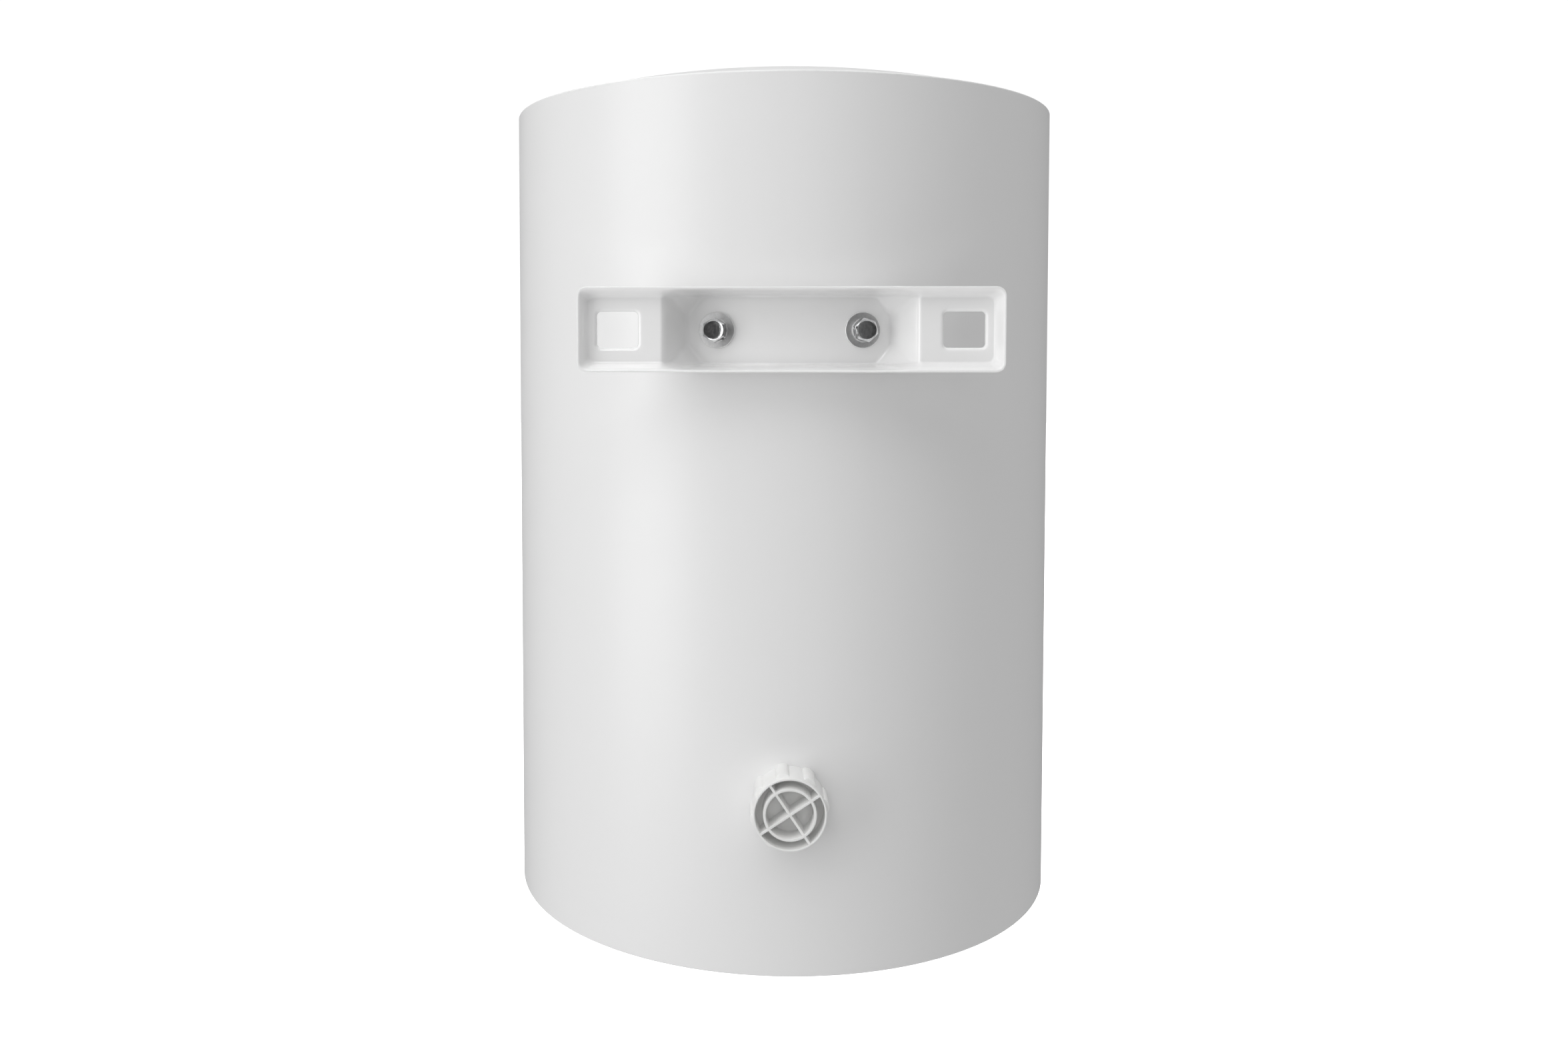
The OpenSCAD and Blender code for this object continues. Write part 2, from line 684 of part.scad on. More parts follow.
module lamp_wires() color("white") {
    wire([
        contact(lamp_at + [-2, 0], cover_z + 19), contact(lamp_at + [-3, 4], cover_z + 21.5),
        contact([16, -42], blade_z - 5), contact([-6, -33], blade_z - 6),
        contact([-leg_x, -26], blade_z - 4), contact([-leg_x, leg_y - 1.3], blade_z - 1)
    ], lamp_core_d);
    wire([
        contact(lamp_at + [2, 0], cover_z + 19), contact(lamp_at + [3, 5], cover_z + 22),
        contact([30, -38], blade_z - 5), contact([24, -27], blade_z - 5),
        contact([leg_x, leg_y - 1.3], blade_z - 1)
    ], lamp_core_d);
}

// cup-shaped cover with a rounded edge, opening upwards; its floor is at z = 0
module cover_cup(r, h, edge) {
    translate([0, 0, edge]) cylinder(r = r, h = h - edge);
    cylinder(r = r - edge, h = edge + eps);
    translate([0, 0, edge]) rotate_extrude() translate([r - edge, 0]) circle(r = edge);
}

module service_cover() color("white") difference() {
    union() {
        difference() {
            plan(cover_at, cover_z) cover_cup(cover_r, cover_h, cover_edge);
            plan(cover_at, cover_z + cover_t)
                cover_cup(cover_r - cover_t, cover_h + 1, cover_edge - cover_t);
        }
        for (s = [-1, 1]) plan([s * column_x, column_y], cover_z + 1)
            cylinder(r = column_r, h = cover_h - 1);
    }
    for (s = [-1, 1]) plan([s * column_x, column_y], cover_z - 1)
        cylinder(r = screw_well_r, h = cover_h - 3);
    for (s = [-1, 1]) plan([s * column_x, column_y], cover_z - 1) cylinder(r = 2.1, h = cover_h + 3);
    plan(spindle_at, cover_z - 1) cylinder(r = 4.5, h = 6);
    plan(lamp_at, cover_z - 1) cylinder(r = lamp_r + 1, h = 6);
    plan(gland_at, cover_z - 1) cylinder(r = gland_r + 0.1, h = 6);
}

module cover_screws() color("silver") for (s = [-1, 1]) plan([s * column_x, column_y], flat_z) {
    translate([0, 0, -6.4]) cylinder(r = screw_head_r, h = 2.4);
    translate([0, 0, -4 - eps]) cylinder(r = screw_r, h = 13);
}

module lamp_body() color("dimgray") plan(lamp_at, cover_z + cover_t) {
    ring(6.5, lamp_r, 1);
    translate([0, 0, -cover_t]) ring(lamp_r + 0.9, lamp_r, 3);
    translate([0, 0, 1 - eps]) ring(lamp_r + 1.5, lamp_r, 13);
    translate([0, 0, 14 - 2 * eps]) cylinder(r = lamp_r + 1.5, h = 2);
}

module lamp_lens() color("red") plan(lamp_at, cover_z) {
    translate([0, 0, -1.2]) cylinder(r = 6.2, h = 1.2);
    translate([0, 0, -eps]) cylinder(r = lamp_r - running, h = 8);
}

module gland_body() color("white") plan(gland_at, cover_z) difference() {
    union() {
        translate([0, 0, -gland_h]) cylinder(r = 9, h = 4);
        translate([0, 0, 4 - gland_h - eps]) cylinder(r = 10.5, h = gland_h - 4 + eps);
        translate([0, 0, -eps]) cylinder(r = gland_r, h = 10);
    }
    translate([0, 0, -gland_h - 1]) cylinder(r = cord_hole_r, h = 30);
}

module gland_nut() color("white") plan(gland_at, cover_z + cover_t) difference() {
    hex(19, 4.5);
    translate([0, 0, -1]) cylinder(r = gland_r + 0.02, h = 9);
}

// ---- thermometer ----

module at_gauge(r) radial(180, r, gauge_z) children();

// cup through the casing, with a rim that lies on the casing's curve
module gauge_case() color("white") difference() {
    union() {
        at_gauge(body_r - 9) cylinder(r = gauge_hole_r - fit, h = 12);
        difference() {
            at_gauge(body_r - 4) cylinder(r = gauge_r - 1.5, h = 7);
            at_axis(gauge_z - 60) cylinder(r = body_r, h = 120);
        }
    }
    at_gauge(body_r - gauge_depth) cylinder(r = gauge_hole_r - 2, h = cutter);
    at_gauge(body_r - 11) cylinder(r = pivot_r + running, h = 10);
    at_gauge(body_r - 11) translate([-capillary_x, 0, 0]) cylinder(r = capillary_r + fit, h = 10);
}

module gauge_bezel() color("silver") at_gauge(body_r + 3) difference() {
    union() {
        cylinder(r = gauge_r - 1.5, h = 3);
        cylinder(r = gauge_r, h = 2);
    }
    translate([0, 0, -1]) cylinder(r = gauge_hole_r + 1, h = 3.2);
    translate([0, 0, -1]) cylinder(r = gauge_hole_r - 1, h = 6);
}

module gauge_dial() color("white") at_gauge(body_r - gauge_depth + 3) difference() {
    cylinder(r = gauge_hole_r - 2.05, h = 0.8);
    translate([0, 0, -1]) cylinder(r = 2.2, h = 3);
}

// pointer at rest over the cold end of the scale, with its shaft
module gauge_pointer() color("black") at_gauge(body_r - gauge_depth + pointer_z) {
    translate([0, 0, -7.4]) cylinder(r = pivot_r, h = 8.2);
    cylinder(r = 3, h = 1.2);
    rotate([0, 0, -45]) translate([-5, -0.8, 0]) cube([21, 1.6, 0.8]);
}

module gauge_window() color("lightcyan", 0.4) at_gauge(body_r + 4)
    cylinder(r = gauge_hole_r + 0.9, h = 1.1);

// capillary from the case down to a bulb that lies against the tank
module gauge_bulb() color("peru") {
    at_gauge(tank_r + 3.1) rotate([0, 90, 0]) translate([0, 0, -20]) cylinder(r = bulb_r, h = bulb_h);
    at_gauge(tank_r + 3.1) translate([-capillary_x, 0, 0])
        cylinder(r = capillary_r, h = body_r - 9 - tank_r);
}

outer_jacket();
top_cap();
bottom_cap();
insulation_foam();
tank_shell();
tank_top_dome();
tank_bottom_dome();
bracket_backing_plate();
bracket_bosses();
wall_bracket();
bracket_bolts();
bracket_spring_washers();
bracket_flat_washers();
wall_spacer();
tank_flange_ring();
flange_gasket();
flange_plate();
flange_bolts();
flange_washers();
heating_element();
element_beads();
element_terminals();
thermostat_pocket();
thermostat_body();
thermostat_rod();
thermostat_spindle();
thermostat_knob();
reset_button();
anode_rod();
anode_stud();
anode_gasket();
anode_nut();
cold_inlet_pipe();
inlet_diffuser();
hot_outlet_pipe();
cold_collar();
hot_collar();
terminal_block();
terminal_screws();
earth_screw();
live_wires();
neutral_wires();
earth_wire();
lamp_wires();
service_cover();
cover_screws();
lamp_body();
lamp_lens();
gland_body();
gland_nut();
gauge_case();
gauge_bezel();
gauge_dial();
gauge_pointer();
gauge_window();
gauge_bulb();
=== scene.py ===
"""Looks of a wall-hung 50 litre water heater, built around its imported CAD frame.

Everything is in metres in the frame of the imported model: the origin is midway between the hook
windows of the wall bracket, in the plane of the wall, +Z is up and the wall is on the +Y side.
Detailed pieces are worked out in millimetres and scaled when their meshes are made. The casing,
its two caps and the hidden inner parts stay as CAD nodes and get materials here.
"""

import json
from math import ceil, copysign, cos, hypot, pi, radians, sin, sqrt, tan, tau

import bmesh
import bpy
from mathutils import Matrix, Vector


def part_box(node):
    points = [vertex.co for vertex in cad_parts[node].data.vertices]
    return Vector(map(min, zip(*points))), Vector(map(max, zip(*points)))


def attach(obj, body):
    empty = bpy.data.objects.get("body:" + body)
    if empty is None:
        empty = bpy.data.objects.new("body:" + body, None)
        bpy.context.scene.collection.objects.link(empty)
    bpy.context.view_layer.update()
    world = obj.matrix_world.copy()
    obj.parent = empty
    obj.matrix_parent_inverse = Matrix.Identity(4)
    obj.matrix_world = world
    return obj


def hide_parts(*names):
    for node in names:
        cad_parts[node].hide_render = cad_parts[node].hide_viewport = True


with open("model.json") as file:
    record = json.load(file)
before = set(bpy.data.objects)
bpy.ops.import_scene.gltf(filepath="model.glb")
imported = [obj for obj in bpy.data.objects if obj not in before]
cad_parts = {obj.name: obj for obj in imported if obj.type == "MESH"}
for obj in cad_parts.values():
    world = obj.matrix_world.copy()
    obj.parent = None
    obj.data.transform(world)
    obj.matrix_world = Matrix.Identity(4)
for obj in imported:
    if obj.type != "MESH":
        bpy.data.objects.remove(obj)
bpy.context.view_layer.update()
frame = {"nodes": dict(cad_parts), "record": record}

MM = 0.001

# ---- sizes and places, in millimetres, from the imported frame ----


def box_mm(node):
    """Lowest and highest corner of a CAD node, in millimetres."""
    low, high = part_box(node)
    return low / MM, high / MM


JACKET_LOW, JACKET_HIGH = box_mm("outer_jacket")
BODY_R = JACKET_HIGH.x
AXIS_Y = (JACKET_LOW.y + JACKET_HIGH.y) / 2
RIM_BOTTOM = JACKET_LOW.z
RIM_TOP = JACKET_HIGH.z
FLAT_Z = box_mm("bottom_cap")[0].z


def plan_of(low, high):
    """Plan position (u, v) of the middle of a box, from the heater's axis."""
    return (low.x + high.x) / 2, (low.y + high.y) / 2 - AXIS_Y


SHEET = 2.0
PRESSING_T = 1.9
BRACKET_W = 250.0
BRACKET_H = 50.0
BRACKET_CORNER = 6.0
PLATE_DEPTH = 8.0
FLOOR_R = BODY_R + SHEET
RAMP_TOP = 75.0
RAMP_FOOT = 62.0
WINDOW_X = 102.0
WINDOW_W = 24.0
WINDOW_H = 21.0
WINDOW_CORNER = 2.3
WINDOW_ROLL = 2.4
BOLT_ANGLE = 13.0
BOLT_HOLE = 4.5
WASHER_T = 1.6
SPRING_T = 2.0


# ---- shapes ----


def lerp(a, b, share):
    return a + (b - a) * share


def polar(radius, angle, height):
    return radius * cos(angle), radius * sin(angle), height


def smooth_step(u):
    u = min(max(u, 0.0), 1.0)
    return u * u * (3 - 2 * u)


def smooth_min(a, b, blend):
    """The smaller of two values, with a round change-over as wide as blend."""
    share = min(max(0.5 + 0.5 * (b - a) / blend, 0.0), 1.0)
    return lerp(b, a, share) - blend * share * (1 - share)


def smooth_max(a, b, blend):
    return -smooth_min(-a, -b, blend)


def spaced(stops, steps):
    """Positions from the first stop to the last, with at most steps[i] between two of them."""
    places = [stops[0]]
    for a, b, step in zip(stops, stops[1:], steps):
        count = max(1, ceil(abs(b - a) / step - 1e-6))
        places += [lerp(a, b, (i + 1) / count) for i in range(count)]
    return places


def fillet(corners, radii, steps=5):
    """A closed 2-D outline with round corners. radii holds one radius for each corner."""
    outline = []
    count = len(corners)
    for i, radius in enumerate(radii):
        p = Vector(corners[i])
        before = Vector(corners[i - 1]) - p
        after = Vector(corners[(i + 1) % count]) - p
        angle = before.angle(after)
        if radius <= 0 or angle > pi - 0.01:
            outline.append(p)
            continue
        reach = min(radius / tan(angle / 2), 0.49 * before.length, 0.49 * after.length)
        radius = reach * tan(angle / 2)
        middle = (before.normalized() + after.normalized()).normalized()
        centre = p + middle * (radius / sin(angle / 2))
        first = p + before.normalized() * reach - centre
        last = p + after.normalized() * reach - centre
        swing = first.angle(last)
        for k in range(steps + 1):
            share = k / steps
            a = sin((1 - share) * swing) / sin(swing)
            b = sin(share * swing) / sin(swing)
            outline.append(centre + first * a + last * b)
    return outline


def radial_matrix(angle, radius, z):
    """Stands a piece on a radius of the casing: its +Z points outwards and its +X down."""
    a = radians(angle)
    out = Vector((sin(a), cos(a), 0))
    across = Vector((-cos(a), sin(a), 0))
    down = Vector((0, 0, -1))
    place = Vector((0, AXIS_Y, z)) + out * radius
    rotation = Matrix((down, across, out)).transposed().to_4x4()
    return Matrix.Translation(place) @ rotation


def plan_matrix(u, v, z):
    """Stands a piece under the heater at the plan position (u, v) from its axis."""
    return Matrix.Translation((u, AXIS_Y + v, z))


def turned(matrix, degrees):
    return matrix @ Matrix.Rotation(radians(degrees), 4, "Z")


def in_metres(matrix):
    """The same move for a mesh that is in metres already."""
    return Matrix.Scale(MM, 4) @ matrix @ Matrix.Scale(1 / MM, 4)


def new_object(name, data):
    obj = bpy.data.objects.new(name, data)
    bpy.context.scene.collection.objects.link(obj)
    return obj


def new_mesh(name, bm):
    """A mesh from a bmesh, which is freed."""
    mesh = bpy.data.meshes.new(name)
    bm.to_mesh(mesh)
    bm.free()
    return mesh


class Shape:
    """Vertices and faces in millimetres, gathered piece by piece into one mesh."""

    def __init__(self):
        self.points = []
        self.faces = []

    def add(self, points, faces, matrix=None):
        start = len(self.points)
        self.points += [matrix @ Vector(p) if matrix else Vector(p) for p in points]
        self.faces += [[start + i for i in face] for face in faces]
        return self

    def revolve(self, profile, matrix=None, sides=96, radius_of=None):
        """A solid of revolution from a closed profile of (radius, height)."""
        count = len(profile)
        points = []
        for s in range(sides):
            a = tau * s / sides
            for r, h in profile:
                points.append(polar(radius_of(r, h, a) if radius_of else r, a, h))
        faces = []
        for s in range(sides):
            t = (s + 1) % sides
            for i in range(count):
                j = (i + 1) % count
                faces.append([s * count + i, t * count + i, t * count + j, s * count + j])
        return self.add(points, faces, matrix)

    def sweep(self, rings, matrix=None, close=False):
        """Skin over a list of closed rings of points, capped at both ends unless it closes."""
        count = len(rings[0])
        points = [p for ring in rings for p in ring]
        faces = []
        last = len(rings) if close else len(rings) - 1
        for k in range(last):
            n = (k + 1) % len(rings)
            for i in range(count):
                j = (i + 1) % count
                faces.append([k * count + i, k * count + j, n * count + j, n * count + i])
        if not close:
            faces.append(list(range(count))[::-1])
            faces.append([(len(rings) - 1) * count + i for i in range(count)])
        return self.add(points, faces, matrix)

    def slab(self, outline, low, high, matrix=None, edge=0.0):
        """A flat plate with the closed 2-D outline, its top edge rounded off by edge."""
        rings = [[(x, y, low) for x, y in outline]]
        if edge > 0:
            middle = sum((Vector(p) for p in outline), Vector((0, 0))) / len(outline)
            for k in range(4):
                a = pi / 2 * k / 3
                inset = edge * (1 - cos(a))
                ring = []
                for p in outline:
                    inward = middle - Vector(p)
                    q = Vector(p) + inward.normalized() * min(inset, inward.length * 0.9)
                    ring.append((q.x, q.y, high - edge * (1 - sin(a))))
                rings.append(ring)
        else:
            rings.append([(x, y, high) for x, y in outline])
        return self.sweep(rings, matrix)

    def build(self, name, sharp=38.0):
        mesh = bpy.data.meshes.new(name)
        mesh.from_pydata([tuple(p * MM) for p in self.points], [], self.faces)
        return tidy_object(name, mesh, sharp)


def tidy_object(name, mesh, sharp=38.0):
    """Closes seams, turns all faces outwards and shades them smooth up to the sharp angle."""
    bm = bmesh.new()
    bm.from_mesh(mesh)
    bmesh.ops.remove_doubles(bm, verts=bm.verts, dist=2e-6)
    bmesh.ops.dissolve_degenerate(bm, edges=bm.edges, dist=1e-6)
    loose = [edge for edge in bm.edges if not edge.link_faces]
    bmesh.ops.delete(bm, geom=loose, context="EDGES")
    bmesh.ops.recalc_face_normals(bm, faces=bm.faces)
    bm.to_mesh(mesh)
    bm.free()
    shade(mesh, sharp)
    return new_object(name, mesh)


def shade(mesh, sharp):
    """Smooth shading, apart from edges sharper than an angle in degrees."""
    mesh.shade_smooth()
    mesh.set_sharp_from_angle(angle=radians(sharp))


def apply_modifiers(obj, sharp=38.0):
    """Replaces the mesh by what its modifiers make of it."""
    graph = bpy.context.evaluated_depsgraph_get()
    obj.data = bpy.data.meshes.new_from_object(obj.evaluated_get(graph))
    obj.modifiers.clear()
    shade(obj.data, sharp)


def boolean(obj, other, operation):
    """Cuts or joins two solids exactly, and removes the second."""
    step = obj.modifiers.new("solid", "BOOLEAN")
    step.operation = operation
    step.solver = "EXACT"
    step.object = other
    apply_modifiers(obj)
    bpy.data.objects.remove(other)


def place(obj, matrix, sharp):
    """Moves a mesh made round the origin to its place."""
    obj.data.transform(in_metres(matrix))
    shade(obj.data, sharp)


def piece(obj, slot, node=None, body="heater", material=None):
    """Gives a finished mesh its material and its body, and hides the CAD node that it stands for."""
    obj.data.materials.clear()
    obj.data.materials.append(material or materials[slot])
    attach(obj, body)
    if node:
        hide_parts(node)


# ---- materials ----


def set_inputs(node, **values):
    """Sets a node's sockets by name, with _ in place of each space."""
    for name, value in values.items():
        node.inputs[name.replace("_", " ")].default_value = value
    return node


class Surface:
    """A node material built up in layers on one Principled shader, in object coordinates."""

    def __init__(self, name, color, roughness, **fixed):
        self.material = bpy.data.materials.new(name)
        self.material.use_nodes = True
        self.tree = self.material.node_tree
        self.shader = self.tree.nodes["Principled BSDF"]
        set_inputs(self.shader, Base_Color=(*color, 1.0), Roughness=roughness, **fixed)
        self.place = self.node("ShaderNodeTexCoord").outputs["Object"]

    def node(self, kind, vector=None, settings=(), **inputs):
        """A new node, with its Vector linked, its settings made and its sockets set."""
        made = self.tree.nodes.new(kind)
        for key, value in dict(settings).items():
            setattr(made, key, value)
        if vector:
            self.link(vector, made.inputs["Vector"])
        return set_inputs(made, **inputs)

    def link(self, output, socket):
        self.tree.links.new(output, socket)

    def noise(self, size, detail=3.0, stretch=(1, 1, 1)):
        """Noise with features about size millimetres across."""
        mapping = self.node("ShaderNodeMapping", self.place, Scale=stretch)
        noise = self.node("ShaderNodeTexNoise", mapping.outputs["Vector"],
                          Scale=1 / (size * MM), Detail=detail)
        return noise.outputs["Fac"]

    def ramp(self, value, low, high, start=0.0, end=1.0):
        """Maps value from low..high onto start..end, held at both ends."""
        band = self.node("ShaderNodeMapRange", From_Min=low, From_Max=high, To_Min=start, To_Max=end)
        self.link(value, band.inputs["Value"])
        return band.outputs["Result"]

    def combine(self, a, b, operation="MULTIPLY"):
        math_node = self.node("ShaderNodeMath", settings={"operation": operation})
        self.link(a, math_node.inputs[0])
        self.link(b, math_node.inputs[1])
        return math_node.outputs["Value"]

    def edges(self, low=0.54, high=0.66):
        """High where the mesh is convex, as where enamel or plating wears first."""
        return self.ramp(self.node("ShaderNodeNewGeometry").outputs["Pointiness"], low, high)

    def tint(self, factor, color):
        """Mixes color over the base colour by factor."""
        mix = self.node("ShaderNodeMix", settings={"data_type": "RGBA"})
        base = self.shader.inputs["Base Color"]
        if base.is_linked:
            self.link(base.links[0].from_socket, mix.inputs["A"])
        else:
            mix.inputs["A"].default_value = base.default_value
        mix.inputs["B"].default_value = (*color, 1.0)
        self.link(factor, mix.inputs["Factor"])
        self.link(mix.outputs["Result"], base)
        return self

    def relief(self, value, height):
        """Adds a bump as high as height millimetres to those already there."""
        bump = self.node("ShaderNodeBump", Distance=height * MM)
        socket = self.shader.inputs["Normal"]
        if socket.is_linked:
            self.link(socket.links[0].from_socket, bump.inputs["Normal"])
        self.link(value, bump.inputs["Height"])
        self.link(bump.outputs["Normal"], socket)
        return self

    def mottle(self, color, amount, size, detail, low, high):
        """Tints the patches where noise of this size rises from low to high."""
        return self.tint(self.ramp(self.noise(size, detail), low, high, 0.0, amount), color)

    def patchy_gloss(self, start, end, size, detail, low=0.3, high=0.7, stretch=(1, 1, 1)):
        """Varies the roughness from start to end with noise of this size."""
        patches = self.ramp(self.noise(size, detail, stretch), low, high, start, end)
        self.link(patches, self.shader.inputs["Roughness"])
        return self

    def grain(self, height, size, detail, stretch=(1, 1, 1)):
        """Noise relief, its height and size in millimetres."""
        return self.relief(self.noise(size, detail, stretch), height)

    def pores(self, height, size):
        """Cell relief, for foams and castings."""
        cells = self.node("ShaderNodeTexVoronoi", self.place, Scale=1 / (size * MM))
        return self.relief(cells.outputs["Distance"], height)


def faded(color, grey, share):
    return [lerp(c, grey, share) for c in color]


def casing_enamel():
    """Stoved white paint on the casing: satin, with a faint orange peel and scuffed rims."""
    s = Surface("casing_enamel", (0.83, 0.83, 0.83), 0.36, Coat_Weight=0.25, Coat_Roughness=0.28)
    s.mottle((0.82, 0.82, 0.815), 0.35, 90, 3, 0.35, 0.75)
    z = s.node("ShaderNodeSeparateXYZ", s.place).outputs["Z"]
    top = s.ramp(z, (RIM_TOP - 2.6) * MM, (RIM_TOP - 0.4) * MM)
    bottom = s.ramp(z, (RIM_BOTTOM + 2.6) * MM, (RIM_BOTTOM + 0.4) * MM)
    rims = s.combine(top, bottom, "MAXIMUM")
    scuffs = s.combine(rims, s.ramp(s.noise(3.5, 5), 0.5, 0.68))
    s.tint(s.combine(scuffs, s.ramp(s.noise(40), 0.4, 0.6, 0.0, 0.35)), (0.66, 0.66, 0.65))
    return s.patchy_gloss(0.36, 0.42, 25, 4).grain(0.006, 2.2, 2).grain(0.03, 60, 1)


def bracket_enamel():
    """Thick glossy enamel on the pressed bracket, thinner and greyer over its edges."""
    s = Surface("bracket_enamel", (0.9, 0.9, 0.9), 0.12, Coat_Weight=0.6, Coat_Roughness=0.05)
    s.mottle((0.88, 0.88, 0.875), 0.5, 22, 3, 0.35, 0.7)
    wear = s.combine(s.edges(0.56, 0.7), s.ramp(s.noise(1.8, 5), 0.42, 0.66))
    s.tint(s.combine(wear, s.ramp(s.noise(14), 0.35, 0.65, 0.1, 0.55)), (0.66, 0.66, 0.65))
    return s.patchy_gloss(0.1, 0.2, 9, 4).grain(0.02, 3.2, 2).grain(0.0015, 0.5, 2)


def zinc(name, color, roughness, clouds, spots, rubbed):
    """Zinc plating: clouded and spotted, and rubbed over its edges."""
    s = Surface(name, color, roughness, Metallic=1.0)
    s.mottle(*clouds, 4, 0.4, 0.7).mottle(*spots, 3, 0.62, 0.72)
    return s.tint(s.edges(), rubbed)


def moulded_plastic(name, color, shade, gloss):
    """Moulded plastic: faint flow marks, fine grain and lighter scuffs over its edges."""
    s = Surface(name, color, gloss[0], Specular_IOR_Level=0.5)
    s.mottle(shade, 0.8, 14, 3, 0.35, 0.7)
    scuffs = s.combine(s.edges(), s.ramp(s.noise(1.2, 5), 0.45, 0.6, 0.0, 0.5))
    s.tint(scuffs, faded(color, 0.7, 0.35))
    s.patchy_gloss(*gloss, 5, 4)
    return s.grain(0.004, 0.35, 2).grain(0.05, 18, 2)


def rubber(name, color):
    """Rubber or wire insulation: matte, with a bloom of dust."""
    s = Surface(name, color, 0.6).mottle(faded(color, 0.5, 0.18), 0.7, 4, 5, 0.4, 0.7)
    return s.patchy_gloss(0.45, 0.75, 2, 3).grain(0.008, 0.4, 3)


def warm_metal(name, color, dark):
    """Copper or brass with a light tarnish."""
    s = Surface(name, color, 0.3, Metallic=1.0).mottle(dark, 0.8, 5, 5, 0.4, 0.72)
    return s.patchy_gloss(0.22, 0.5, 1.5, 4).grain(0.008, 0.7, 3)


def printed(name, color):
    """Printing ink on the dial and the cover."""
    s = Surface(name, color, 0.5).mottle(faded(color, 0.85, 0.3), 0.35, 0.5, 4, 0.45, 0.75)
    return s.grain(0.003, 0.3, 2).material


RED_LENS = (0.78, 0.04, 0.03)
WHITE_SHADE = (0.8, 0.8, 0.785)
# each holds the material's name, its colour, its darker shade and its roughness from and to
PLASTICS = {
    "white_plastic_spacer": ("spacer_plastic", (0.82, 0.82, 0.815), WHITE_SHADE, (0.32, 0.46)),
    "white_plastic_cover": ("cover_plastic", (0.83, 0.83, 0.82), WHITE_SHADE, (0.28, 0.4)),
    "white_plastic_knob": ("knob_plastic", (0.83, 0.83, 0.82), WHITE_SHADE, (0.24, 0.36)),
    "white_plastic_gland": ("gland_plastic", (0.8, 0.8, 0.79), WHITE_SHADE, (0.35, 0.5)),
    "white_plastic_gauge": ("gauge_plastic", (0.83, 0.83, 0.82), WHITE_SHADE, (0.25, 0.36)),
    "cream_plastic": ("cream_plastic", (0.8, 0.75, 0.62), (0.76, 0.7, 0.56), (0.4, 0.55)),
    "red_plastic": ("red_plastic", (0.62, 0.035, 0.03), (0.5, 0.025, 0.02), (0.3, 0.42)),
    "blue_plastic": ("blue_plastic", (0.02, 0.12, 0.55), (0.015, 0.09, 0.42), (0.3, 0.42)),
    "natural_plastic": ("natural_plastic", (0.75, 0.78, 0.8), (0.68, 0.71, 0.73), (0.35, 0.5)),
    "black_plastic": ("black_plastic", (0.03, 0.03, 0.03), (0.05, 0.05, 0.05), (0.35, 0.5)),
    "dial_white": ("dial_white", (0.86, 0.86, 0.84), (0.83, 0.83, 0.81), (0.42, 0.5)),
}
RUBBERS = {
    "black_rubber": (0.03, 0.03, 0.03),
    "brown_wire": (0.17, 0.07, 0.03),
    "blue_wire": (0.03, 0.12, 0.42),
    "green_yellow_wire": (0.42, 0.56, 0.06),
    "white_wire": (0.76, 0.76, 0.74),
}
